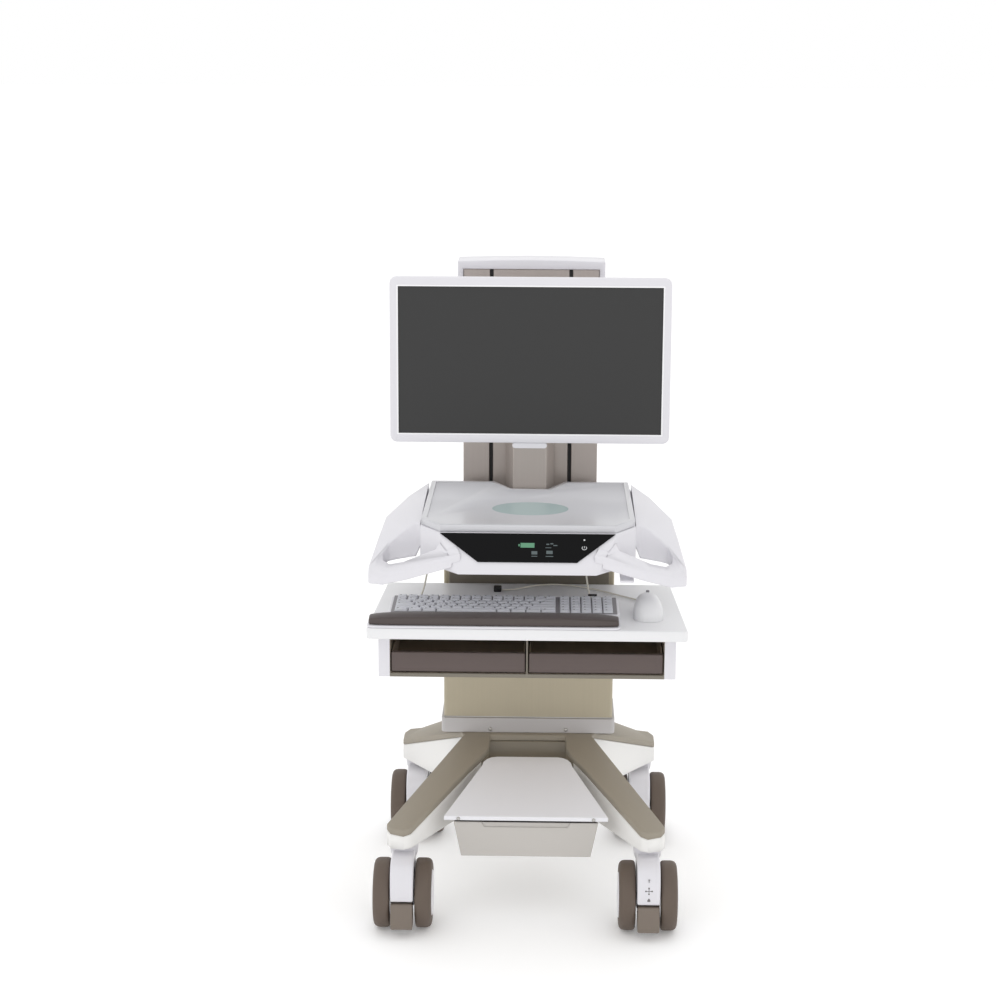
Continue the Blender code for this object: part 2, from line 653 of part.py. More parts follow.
def make_handles(mats, lift):
    """One looped grip each side of the head, sloping down and forward."""
    outer = [(-0.186, 0.069, 0.750), (-0.222, -0.013, 0.741), (-0.2585, -0.100, 0.7215),
             (-0.266, -0.170, 0.704), (-0.2765, -0.285, 0.676), (-0.275, -0.316, 0.671),
             (-0.250, -0.331, 0.673), (-0.205, -0.334, 0.684), (-0.114, -0.319, 0.706),
             (-0.128, -0.285, 0.732), (-0.138, -0.245, 0.735), (-0.172, -0.150, 0.742)]
    inner = [(-0.198, -0.215, 0.738), (-0.214, -0.212, 0.727), (-0.232, -0.214, 0.712),
             (-0.246, -0.220, 0.700), (-0.2535, -0.240, 0.688), (-0.252, -0.262, 0.681),
             (-0.240, -0.278, 0.678), (-0.215, -0.291, 0.686), (-0.160, -0.302, 0.712),
             (-0.153, -0.292, 0.724), (-0.165, -0.262, 0.735), (-0.182, -0.232, 0.740)]
    grown_top, grown_bottom = head_loops(HANDLE_GAP)

    def underside(x, y, z):
        beyond = abs(x) - HEAD_WIDTH / 2
        level = HEAD_BOTTOM + 0.002 - WING_DROOP * beyond
        return x, y, min(z - HANDLE_DROP, level) if beyond > 0 else z - HANDLE_DROP

    for tag, side in (("left", 1), ("right", -1)):
        bm = bmesh.new()
        rings = []
        for loop in (outer, [underside(*point) for point in outer], [underside(*point) for point in inner], inner):
            rings.append([bm.verts.new((side * x, y, z)) for x, y, z in loop])
        count = len(outer)
        for ring, after in zip(rings, rings[1:] + rings[:1]):
            for i in range(count):
                j = (i + 1) % count
                bm.faces.new((ring[i], ring[j], after[j], after[i]))
        handle = place("handle_" + tag, bm, mats["white"], lift, 35)
        bevel(handle, 0.004, 2, 35)
        core = loft([[(x, y, HEAD_BOTTOM - 0.02) for x, y in grown_bottom],
                     [(x, y, HEAD_BOTTOM) for x, y in grown_bottom],
                     [(x, y, HEAD_TOP) for x, y in grown_top],
                     [(x, y, HEAD_TOP + 0.03) for x, y in grown_top]])
        cut(handle, core, "head_clearance_" + tag)
        cut(handle, panel_solid(0.0006, -0.020, 0.030), "panel_clearance_" + tag)


def make_lever(mats, lift):
    """The lift-release paddle under the head's right front."""
    back_y, front_y = LEVER_BACK, LEVER_BACK - LEVER_LENGTH
    back_z = HEAD_BOTTOM - 0.0012
    front_z = back_z - LEVER_DROOP
    hinge = pivot("lever_pivot", (LEVER_X, back_y, back_z - LEVER_THICKNESS / 2), lift)
    side = [(back_y, back_z), (back_y, back_z - LEVER_THICKNESS), (front_y, front_z - LEVER_THICKNESS),
            (front_y, front_z)]
    loops = [[(x, y, z) for y, z in side] for x in (LEVER_X - LEVER_WIDTH / 2, LEVER_X + LEVER_WIDTH / 2)]
    place("lift_lever", loft(loops), mats["white"], hinge)


# ---- cabinet and drawers ------------------------------------------------------------------------
def make_cabinet(mats, lift):
    half = CABINET_WIDTH / 2
    cabinet = place("drawer_cabinet", box((-half, CABINET_FRONT, CABINET_BOTTOM),
                                          (half, CABINET_BACK, CABINET_TOP)), mats["grey"], lift)
    opening = half - CABINET_SIDE
    divider = 0.0015
    hanger = box((-0.150, CABINET_BACK - 0.010, CABINET_TOP - 0.010), (0.150, CABINET_BACK, HEAD_BOTTOM - GAP))
    cut(cabinet, hanger, "cabinet_hanger", "UNION")
    for tag, side in (("left", -1), ("right", 1)):
        low, high = sorted((side * divider, side * opening))
        space = box((low, CABINET_FRONT - 0.01, CABINET_BOTTOM + 0.007),
                    (high, CABINET_BACK - 0.012, CABINET_TOP - 0.005))
        cut(cabinet, space, "drawer_space_" + tag)
        slide = pivot("drawer_slide_" + tag, (0.0, CABINET_FRONT, CABINET_BOTTOM), lift)
        x0, x1 = low + DRAWER_CLEARANCE, high - DRAWER_CLEARANCE
        z0 = CABINET_BOTTOM + 0.009
        z1 = z0 + DRAWER_FRONT_HEIGHT
        front_y = CABINET_FRONT + 0.002
        front = place("drawer_front_" + tag, box((x0, front_y, z0), (x1, front_y + 0.010, z1)),
                      mats["front"], slide)
        bevel(front, 0.002, 2, 40)
        y0, y1 = front_y + 0.010 + GAP, CABINET_BACK - 0.018
        w = DRAWER_WALL
        bm = bmesh.new()
        loops = []
        for inset, z in ((0.0, z0), (0.0, z1 - 0.001), (w, z1 - 0.001), (w, z0 + w)):
            loops.append([(x0 + 0.001 + inset, y0 + inset, z), (x1 - 0.001 - inset, y0 + inset, z),
                          (x1 - 0.001 - inset, y1 - inset, z), (x0 + 0.001 + inset, y1 - inset, z)])
        add_loft(bm, loops)
        place("drawer_box_" + tag, bm, mats["bin"], slide)


# ---- keyboard tray ------------------------------------------------------------------------------
def make_tray(mats, lift):
    tray_slide = pivot("tray_slide", (0.0, TRAY_FRONT, CABINET_TOP), lift)
    low = CABINET_TOP + GAP
    top = low + TRAY_THICKNESS
    front, back = TRAY_WIDTH / 2, TRAY_WIDTH / 2 - TRAY_TAPER / 2
    plan = [(-front + 0.004, TRAY_FRONT), (front - 0.004, TRAY_FRONT), (front, TRAY_FRONT + 0.006),
            (back, TRAY_BACK), (-back, TRAY_BACK), (-front, TRAY_FRONT + 0.006)]
    tray = place("keyboard_tray", loft([[(x, y, z) for x, y in plan] for z in (low, top)]),
                 mats["white"], tray_slide)
    bevel(tray, 0.002, 2, 40)
    rest_on = top + GAP

    outline = rounded(KEYBOARD_LEFT, KEYBOARD_RIGHT, KEYBOARD_FRONT, KEYBOARD_BACK, 0.008, 3)
    case_top = rest_on + KEYBOARD_HEIGHT
    case = place("keyboard_case", loft([[(x, y, z) for x, y in outline] for z in (rest_on, case_top)]),
                 mats["white"], tray_slide)
    bevel(case, 0.0015, 1, 40)
    mat_low = case_top + GAP
    mat = box((KEYBOARD_LEFT + 0.005, KEYBOARD_FRONT + 0.002, mat_low),
              (KEYBOARD_RIGHT - 0.005, KEYBOARD_BACK - 0.002, mat_low + KEY_MAT))
    key_set = place("keyboard_keys", mat, mats["keys"], tray_slide)
    cut(key_set, keys(mat_low + KEY_MAT / 2), "key_caps", "UNION")

    plate_back = KEYBOARD_FRONT - 0.001
    plate = rounded(WRIST_LEFT, KEYBOARD_RIGHT, TRAY_FRONT + 0.001, plate_back, 0.010, 3)
    plate_top = rest_on + 0.004
    place("wrist_plate", loft([[(x, y, z) for x, y in plate] for z in (rest_on, plate_top)]),
          mats["white"], tray_slide, 30)
    place("wrist_rest", wrist_rest(plate_top + GAP, plate_back), mats["pad"], tray_slide, 40)
    mouse_back = -0.150
    place("mouse", mouse(rest_on, mouse_back), mats["white"], tray_slide, 50)

    z = rest_on + MOUSE_CORD_RADIUS + GAP
    usb_x, usb_y, usb_half = -0.0570, -0.054, 0.007
    usb = place("usb_connector", box((usb_x - usb_half, usb_y - 0.009, rest_on),
                                     (usb_x + usb_half, usb_y + 0.009, rest_on + 0.008)),
          mats["dark"], tray_slide)
    bevel(usb, 0.001, 1, 40)
    route = [(0.214, mouse_back + GAP, z), (0.2125, -0.138, z), (0.205, -0.122, z), (0.192, -0.107, z),
             (0.176, -0.093, z), (0.158, -0.076, z), (0.138, -0.057, z), (0.117, -0.040, z),
             (0.095, -0.026, z), (0.072, -0.016, z), (0.048, -0.012, z), (0.026, -0.015, z),
             (0.007, -0.024, z), (-0.010, -0.037, z), (-0.026, -0.048, z), (-0.040, -0.053, z),
             (usb_x + usb_half + GAP, usb_y, z)]
    cord("mouse_cord", route, MOUSE_CORD_RADIUS, mats["cord"], tray_slide, 4)
    ceiling = HEAD_BOTTOM - GAP
    floor = rest_on + KEYBOARD_CORD_RADIUS + GAP
    left = [(-0.178, -0.110, ceiling), (-0.178, -0.110, 0.660), (-0.180, -0.111, 0.640),
            (-0.184, -0.113, 0.618),
            (-0.188, -0.115, 0.598), (-0.192, -0.118, 0.584), (-0.196, -0.124, 0.576), (-0.199, -0.133, floor),
            (-0.200, KEYBOARD_BACK + GAP, floor)]
    right = [(0.102, -0.110, ceiling), (0.102, -0.110, 0.660), (0.103, -0.111, 0.640), (0.105, -0.113, 0.618),
             (0.108, -0.115, 0.598), (0.111, -0.118, 0.584), (0.114, -0.124, 0.576), (0.116, -0.133, floor),
             (0.117, KEYBOARD_BACK + GAP, floor)]
    cord("keyboard_cord_left", left, KEYBOARD_CORD_RADIUS, mats["cord"], tray_slide, 3)
    cord("keyboard_cord_right", right, KEYBOARD_CORD_RADIUS, mats["cord"], tray_slide, 3)


def keys(low):
    """Six rows of key caps: the main block, then the navigation and number block."""
    bm = bmesh.new()
    start_x = KEYBOARD_LEFT + 0.010
    row_depth = (KEYBOARD_BACK - KEYBOARD_FRONT - 0.008) / 6
    main = [[1.0] * 15, [1.0] * 13 + [2.0], [1.5] + [1.0] * 12 + [1.5], [1.8] + [1.0] * 11 + [2.2],
            [2.3] + [1.0] * 10 + [2.7], [1.3, 1.3, 1.3, 5.6, 1.3, 1.4, 1.4, 1.4]]
    for row, widths in enumerate(main):
        high_y = KEYBOARD_BACK - 0.004 - row * row_depth
        x = start_x
        for width in widths + [0.3] + [1.0] * 5:
            if width == 0.3:
                x += width * KEY_PITCH
                continue
            reach = width * KEY_PITCH
            add_box(bm, (x + 0.0012, high_y - row_depth + 0.0012, low),
                    (x + reach - 0.0012, high_y - 0.0012, low + KEY_HEIGHT))
            x += reach
    return bm


def wrist_rest(low, back):
    """A long pad with an arched top and rounded ends."""
    x0, x1 = WRIST_LEFT + 0.003, KEYBOARD_RIGHT - 0.003
    y0, y1 = TRAY_FRONT + 0.004, back - 0.003
    stations = [(0.0, 0.35), (0.012, 0.75), (0.05, 0.95), (0.5, 1.0), (0.95, 0.95), (0.988, 0.75), (1.0, 0.35)]
    loops = []
    for share, rise in stations:
        x = x0 + (x1 - x0) * share
        height = WRIST_HEIGHT * rise
        loop = [(x, y0, low), (x, y1, low), (x, y1, low + height * 0.7)]
        for step in range(5):
            t = step / 4
            loop.append((x, y1 - 0.002 - (y1 - y0 - 0.004) * t,
                         low + height * (0.85 + 0.15 * math.sin(math.pi * t))))
        loop.append((x, y0, low + height * 0.6))
        loops.append(loop)
    return loft(loops)


def mouse(low, back):
    middle_x, length, width, height = 0.214, 0.106, 0.060, 0.037
    levels = [(0.0, 0.98), (0.10, 1.0), (0.45, 0.93), (0.75, 0.76), (0.93, 0.50), (1.0, 0.25)]
    loops = []
    for rise, share in levels:
        loop = []
        for step in range(20):
            angle = 2 * math.pi * step / 20
            shrink = 1.0 - 0.12 * math.sin(angle)
            loop.append((middle_x + width / 2 * share * shrink * math.cos(angle),
                         back - length / 2 + length / 2 * share * math.sin(angle),
                         low + height * rise))
        loops.append(loop)
    return loft(loops)


# ---- display ------------------------------------------------------------------------------------
def make_display(mats, lift):
    middle_z = MONITOR_BOTTOM + MONITOR_HEIGHT / 2
    slide = pivot("display_slide", (0.0, POST_FRONT, middle_z), lift)
    back = MONITOR_FRONT + MONITOR_DEPTH
    hinge_y = (back + POST_FRONT) / 2
    tilt = pivot("display_tilt", (0.0, hinge_y, middle_z), slide)
    pin = 0.005
    yoke = bmesh.new()
    add_box(yoke, (-0.040, POST_FRONT - GAP - 0.005, middle_z - 0.030),
            (0.040, POST_FRONT - GAP, middle_z + 0.026))
    yoke_obj = place("display_yoke", yoke, mats["grey"], slide)
    ears = bmesh.new()
    for side in (1, -1):
        x0, x1 = sorted((side * 0.026, side * 0.034))
        add_box(ears, (x0, hinge_y - 0.010, middle_z - 0.012), (x1, POST_FRONT - 0.004, middle_z + 0.012))
    cut(yoke_obj, ears, "yoke_ears", "UNION")
    pin_bm = rod((-0.040, hinge_y, middle_z), (0.040, hinge_y, middle_z), pin, 16)
    cut(yoke_obj, pin_bm, "yoke_pin", "UNION")

    half_w, top = MONITOR_WIDTH / 2, MONITOR_BOTTOM + MONITOR_HEIGHT
    face = rounded(-half_w, half_w, MONITOR_BOTTOM, top, 0.012, 3)
    bezel_back = MONITOR_FRONT + BEZEL_DEPTH
    hole = rounded(-SCREEN_WIDTH / 2, SCREEN_WIDTH / 2, middle_z - SCREEN_HEIGHT / 2,
                   middle_z + SCREEN_HEIGHT / 2, 0.0006, 3)
    bm = bmesh.new()
    add_tube(bm, face, hole, MONITOR_FRONT, bezel_back)
    for vertex in bm.verts:
        vertex.co = Vector((vertex.co.x, vertex.co.z, vertex.co.y))
    bezel = place("monitor_bezel", bm, mats["white"], tilt, 30)
    bevel(bezel, 0.002, 2, 40)
    inset = 0.0005
    half_screen = SCREEN_HEIGHT / 2 - inset
    place("monitor_screen", box((-SCREEN_WIDTH / 2 + inset, MONITOR_FRONT + 0.0015, middle_z - half_screen),
                                (SCREEN_WIDTH / 2 - inset, bezel_back - 0.001, middle_z + half_screen)),
          mats["screen"], tilt)
    loops = [[(x, y, z) for x, z in rounded(-half_w + i, half_w - i, MONITOR_BOTTOM + i, top - i, 0.011, 3)]
             for y, i in ((bezel_back + GAP, 0.001), (bezel_back + 0.010, 0.003),
                          (back - 0.002, 0.040), (back, 0.046))]
    shell = place("monitor_back", loft(loops), mats["white"], tilt, 35)
    knuckle = bmesh.new()
    add_box(knuckle, (-0.0235, back - 0.004, middle_z - 0.009), (0.0235, hinge_y + 0.009, middle_z + 0.009))
    cut(shell, knuckle, "knuckle", "UNION")
    cut(shell, rod((-0.05, hinge_y, middle_z), (0.05, hinge_y, middle_z), pin + GAP, 16), "knuckle_bore")
    tab = rounded(-0.0315, 0.0315, MONITOR_BOTTOM - 0.0105, MONITOR_BOTTOM - GAP, 0.005, 3)
    place("monitor_tab", loft([[(x, y, z) for x, z in tab] for y in (MONITOR_FRONT + 0.003, back - 0.012)]),
          mats["white"], tilt, 30)


def main():
    for obj in list(bpy.data.objects):
        bpy.data.objects.remove(obj, do_unlink=True)
    mats = make_materials()
    make_base(mats)
    make_lid_and_bin(mats)
    for tag, side_x, side_y in (("front_left", -1, -1), ("front_right", 1, -1),
                                ("rear_left", -1, 1), ("rear_right", 1, 1)):
        make_caster(mats, tag, side_x, side_y)
    make_column(mats)
    lift = pivot("lift", (0.0, COLUMN_Y, HUB_TOP))
    make_mast(mats, lift)
    make_post(mats, lift)
    make_head(mats, lift)
    make_handles(mats, lift)
    make_lever(mats, lift)
    make_cabinet(mats, lift)
    make_tray(mats, lift)
    make_display(mats, lift)


main()
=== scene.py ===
import json
import math

import bmesh
import bpy
from mathutils import Matrix, Vector


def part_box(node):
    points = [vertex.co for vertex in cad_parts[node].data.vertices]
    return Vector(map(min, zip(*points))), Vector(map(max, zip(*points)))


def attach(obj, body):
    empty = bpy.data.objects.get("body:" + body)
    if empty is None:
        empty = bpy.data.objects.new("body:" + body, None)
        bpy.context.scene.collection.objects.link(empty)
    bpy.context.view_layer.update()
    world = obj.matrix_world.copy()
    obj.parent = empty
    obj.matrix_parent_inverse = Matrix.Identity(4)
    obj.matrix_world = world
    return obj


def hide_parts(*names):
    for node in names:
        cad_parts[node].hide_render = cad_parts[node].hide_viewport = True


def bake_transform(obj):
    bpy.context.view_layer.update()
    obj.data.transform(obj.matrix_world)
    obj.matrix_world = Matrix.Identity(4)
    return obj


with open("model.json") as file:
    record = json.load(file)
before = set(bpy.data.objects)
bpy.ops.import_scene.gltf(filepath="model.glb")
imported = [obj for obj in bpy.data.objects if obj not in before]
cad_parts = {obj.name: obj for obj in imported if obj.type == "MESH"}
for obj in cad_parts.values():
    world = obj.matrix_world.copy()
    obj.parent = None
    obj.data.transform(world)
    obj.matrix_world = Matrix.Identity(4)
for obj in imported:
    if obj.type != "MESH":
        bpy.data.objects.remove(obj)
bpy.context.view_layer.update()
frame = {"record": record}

nodeBody = {node: body for body, nodes in frame["record"]["behaviour"]["bodies"].items() for node in nodes}
casterTags = ["front_left", "front_right", "rear_left", "rear_right"]
yShift = 0.0280  # the drawing's front-to-back offset, as in the CAD source


# ---- small helpers

def low(node):
    return Vector(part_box(node)[0])


def high(node):
    return Vector(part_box(node)[1])


def middle(node):
    return (low(node) + high(node)) / 2


def addPiece(name, bm, material, body, smoothAngle=30):
    # closed pieces only: doubles merged, faces turned outwards, smooth except at real edges
    bmesh.ops.remove_doubles(bm, verts=bm.verts[:], dist=1e-6)
    bmesh.ops.recalc_face_normals(bm, faces=bm.faces[:])
    mesh = bpy.data.meshes.new(name)
    bm.to_mesh(mesh)
    bm.free()
    mesh.shade_smooth()
    mesh.set_sharp_from_angle(angle=math.radians(smoothAngle))
    mesh.materials.append(material)
    obj = bpy.data.objects.new(name, mesh)
    bpy.context.scene.collection.objects.link(obj)
    if body:
        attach(obj, body)
    return obj


def addBevel(obj, width, segments=3, angle=35):
    mod = obj.modifiers.new("edge", "BEVEL")
    mod.width = width
    mod.segments = segments
    mod.limit_method = "ANGLE"
    mod.angle_limit = math.radians(angle)


def refineNode(node, name, material, smoothAngle=32, bevelWidth=0.0):
    # a merged copy of the CAD node, shaded smooth over its rounded edges
    bm = bmesh.new()
    bm.from_mesh(bpy.data.objects[node].data)
    bmesh.ops.remove_doubles(bm, verts=bm.verts[:], dist=2e-6)
    bmesh.ops.dissolve_limit(bm, angle_limit=math.radians(0.6), verts=bm.verts[:], edges=bm.edges[:])
    piece = addPiece(name, bm, material, nodeBody[node], smoothAngle)
    if bevelWidth:
        addBevel(piece, bevelWidth, 2, 40)
    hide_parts(node)
    return piece


def boxAt(bm, lowCorner, highCorner):
    size = Vector(highCorner) - Vector(lowCorner)
    place = Matrix.Translation((Vector(lowCorner) + Vector(highCorner)) / 2) @ Matrix.Diagonal((*size, 1))
    return bmesh.ops.create_cube(bm, size=1, matrix=place)["verts"]


def spinAboutX(profile, centre, steps):
    # profile holds (x, radius) pairs; a closed loop or one that starts and ends on the axis
    bm = bmesh.new()
    verts = [bm.verts.new((centre.x + x, centre.y, centre.z + radius)) for x, radius in profile]
    onAxis = profile[0][1] == 0.0
    edges = [bm.edges.new(pair) for pair in zip(verts, verts[1:])]
    if not onAxis:
        edges.append(bm.edges.new((verts[-1], verts[0])))
    bmesh.ops.spin(bm, geom=verts + edges, cent=centre, axis=(1, 0, 0), angle=2 * math.pi,
                   steps=steps, use_merge=True)
    return bm


def extrudeLoop(points, offset):
    # a flat loop pushed along a vector into a closed solid
    bm = bmesh.new()
    face = bm.faces.new([bm.verts.new(point) for point in points])
    grown = bmesh.ops.extrude_face_region(bm, geom=[face])
    moved = [item for item in grown["geom"] if isinstance(item, bmesh.types.BMVert)]
    bmesh.ops.translate(bm, verts=moved, vec=offset)
    return bm


# ---- camera and light

cameraSetup = {"place": (0.038, -4.15 + yShift, 1.688), "pitchDown": 13.0, "turnLeft": 1.29, "roll": 0.24,
               "lens": 82.8}
lightSetup = {"world": 1.0, "floorGlow": 0.12, "aim": (0, 0, 0.6), "lamps": [
    ("key", 7, 2.2, (-1.8, -2.6, 3.0)), ("fill", 2, 2.5, (2.6, -2.2, 1.8)), ("top", 7, 2.0, (0.0, 0.6, 3.4))]}


def setCameraAndLights():
    cameraData = bpy.data.cameras.new("camera")
    cameraData.lens = cameraSetup["lens"]
    cameraData.sensor_width = 36
    camera = bpy.data.objects.new("camera", cameraData)
    bpy.context.scene.collection.objects.link(camera)
    camera.location = cameraSetup["place"]
    turn = Matrix.Rotation(math.radians(cameraSetup["turnLeft"]), 4, "Z")
    pitch = Matrix.Rotation(math.radians(90 - cameraSetup["pitchDown"]), 4, "X")
    roll = Matrix.Rotation(math.radians(cameraSetup["roll"]), 4, "Z")
    camera.rotation_euler = (turn @ pitch @ roll).to_euler()
    bpy.context.scene.camera = camera

    world = bpy.data.worlds.new("studio")
    world.use_nodes = True
    world.node_tree.nodes["Background"].inputs["Color"].default_value = (1, 1, 1, 1)
    world.node_tree.nodes["Background"].inputs["Strength"].default_value = lightSetup["world"]
    bpy.context.scene.world = world
    bpy.context.scene.view_settings.view_transform = "Standard"
    for name, power, size, place in lightSetup["lamps"]:
        lamp = bpy.data.lights.new(name, "AREA")
        lamp.energy = power
        lamp.size = size
        obj = bpy.data.objects.new(name, lamp)
        bpy.context.scene.collection.objects.link(obj)
        obj.location = place
        aim = Vector(lightSetup["aim"]) - Vector(place)
        obj.rotation_euler = aim.to_track_quat("-Z", "Y").to_euler()

    bm = bmesh.new()
    bmesh.ops.create_grid(bm, x_segments=1, y_segments=1, size=30)
    floorMesh = bpy.data.meshes.new("floor")
    bm.to_mesh(floorMesh)
    bm.free()
    floor = bpy.data.objects.new("floor", floorMesh)
    bpy.context.scene.collection.objects.link(floor)
    floorFinish = plainFinish("floorWhite", (0.97, 0.97, 0.97), 0.9)
    floorShader = floorFinish.node_tree.nodes["Principled BSDF"]
    floorShader.inputs["Emission Color"].default_value = (1, 1, 1, 1)
    floorShader.inputs["Emission Strength"].default_value = lightSetup["floorGlow"]
    floorMesh.materials.append(floorFinish)


# ---- finishes

def plainFinish(name, colour, roughness, metallic=0.0):
    material = bpy.data.materials.new(name)
    material.use_nodes = True
    shader = material.node_tree.nodes["Principled BSDF"]
    shader.inputs["Base Color"].default_value = (*colour, 1)
    shader.inputs["Roughness"].default_value = roughness
    shader.inputs["Metallic"].default_value = metallic
    return material


def surfaceFinish(name, colour, roughness, metallic=0.0, grain=600, grainDepth=0.05, stretch=(1, 1, 1),
                  vary=0.03, roughVary=0.06, coat=0.0, sheen=0.0, grainSize=0.0002, specular=0.5):
    # colour drifts a little over the piece, and fine grain drives the bump and the roughness
    material = plainFinish(name, colour, roughness, metallic)
    tree = material.node_tree
    shader = tree.nodes["Principled BSDF"]
    shader.inputs["Specular IOR Level"].default_value = specular
    if coat:
        shader.inputs["Coat Weight"].default_value = coat
        shader.inputs["Coat Roughness"].default_value = 0.12
    if sheen:
        shader.inputs["Sheen Weight"].default_value = sheen
    coords = tree.nodes.new("ShaderNodeTexCoord")
    mapping = tree.nodes.new("ShaderNodeMapping")
    mapping.inputs["Scale"].default_value = stretch
    tree.links.new(coords.outputs["Object"], mapping.inputs["Vector"])
    fine = tree.nodes.new("ShaderNodeTexNoise")
    fine.inputs["Scale"].default_value = grain
    fine.inputs["Detail"].default_value = 4
    tree.links.new(mapping.outputs["Vector"], fine.inputs["Vector"])
    broad = tree.nodes.new("ShaderNodeTexNoise")
    broad.inputs["Scale"].default_value = 5
    broad.inputs["Detail"].default_value = 2
    tree.links.new(coords.outputs["Object"], broad.inputs["Vector"])
    drift = tree.nodes.new("ShaderNodeMix")
    drift.data_type = "RGBA"
    drift.inputs[6].default_value = (*[c * (1 - vary) for c in colour], 1)
    drift.inputs[7].default_value = (*[min(1.0, c * (1 + vary)) for c in colour], 1)
    both = tree.nodes.new("ShaderNodeMath")
    both.operation = "MULTIPLY_ADD"
    tree.links.new(fine.outputs["Fac"], both.inputs[0])
    both.inputs[1].default_value = 0.5
    half = tree.nodes.new("ShaderNodeMath")
    half.operation = "MULTIPLY"
    half.inputs[1].default_value = 0.5
    tree.links.new(broad.outputs["Fac"], half.inputs[0])
    tree.links.new(half.outputs["Value"], both.inputs[2])
    tree.links.new(both.outputs["Value"], drift.inputs["Factor"])
    tree.links.new(drift.outputs[2], shader.inputs["Base Color"])
    spread = tree.nodes.new("ShaderNodeMapRange")
    spread.inputs["To Min"].default_value = max(0.02, roughness - roughVary)
    spread.inputs["To Max"].default_value = min(1.0, roughness + roughVary)
    tree.links.new(fine.outputs["Fac"], spread.inputs["Value"])
    tree.links.new(spread.outputs["Result"], shader.inputs["Roughness"])
    bump = tree.nodes.new("ShaderNodeBump")
    bump.inputs["Strength"].default_value = grainDepth
    bump.inputs["Distance"].default_value = grainSize
    tree.links.new(fine.outputs["Fac"], bump.inputs["Height"])
    tree.links.new(bump.outputs["Normal"], shader.inputs["Normal"])
    return material


def zoneFinish(material, name, zones):
    # a copy of a finish whose colour changes inside each zone; a test is an axis, "near" the middle, "above"
    # or "below", and a limit
    other = material.copy()
    other.name = name
    tree = other.node_tree
    shader = tree.nodes["Principled BSDF"]
    colourSocket = shader.inputs["Base Color"].links[0].from_socket
    coords = tree.nodes.new("ShaderNodeTexCoord")
    split = tree.nodes.new("ShaderNodeSeparateXYZ")
    tree.links.new(coords.outputs["Object"], split.inputs["Vector"])
    for tests, colour in zones:
        inside = None
        for axis, kind, limit in tests:
            source = split.outputs[axis]
            if kind == "near":
                away = tree.nodes.new("ShaderNodeMath")
                away.operation = "ABSOLUTE"
                tree.links.new(source, away.inputs[0])
                source = away.outputs["Value"]
            test = tree.nodes.new("ShaderNodeMath")
            test.operation = "GREATER_THAN" if kind == "above" else "LESS_THAN"
            test.inputs[1].default_value = limit
            tree.links.new(source, test.inputs[0])
            if inside is None:
                inside = test.outputs["Value"]
            else:
                both = tree.nodes.new("ShaderNodeMath")
                both.operation = "MULTIPLY"
                tree.links.new(inside, both.inputs[0])
                tree.links.new(test.outputs["Value"], both.inputs[1])
                inside = both.outputs["Value"]
        mix = tree.nodes.new("ShaderNodeMix")
        mix.data_type = "RGBA"
        mix.inputs[7].default_value = (*colour, 1)
        tree.links.new(colourSocket, mix.inputs[6])
        tree.links.new(inside, mix.inputs["Factor"])
        colourSocket = mix.outputs[2]
    tree.links.new(colourSocket, shader.inputs["Base Color"])
    return other


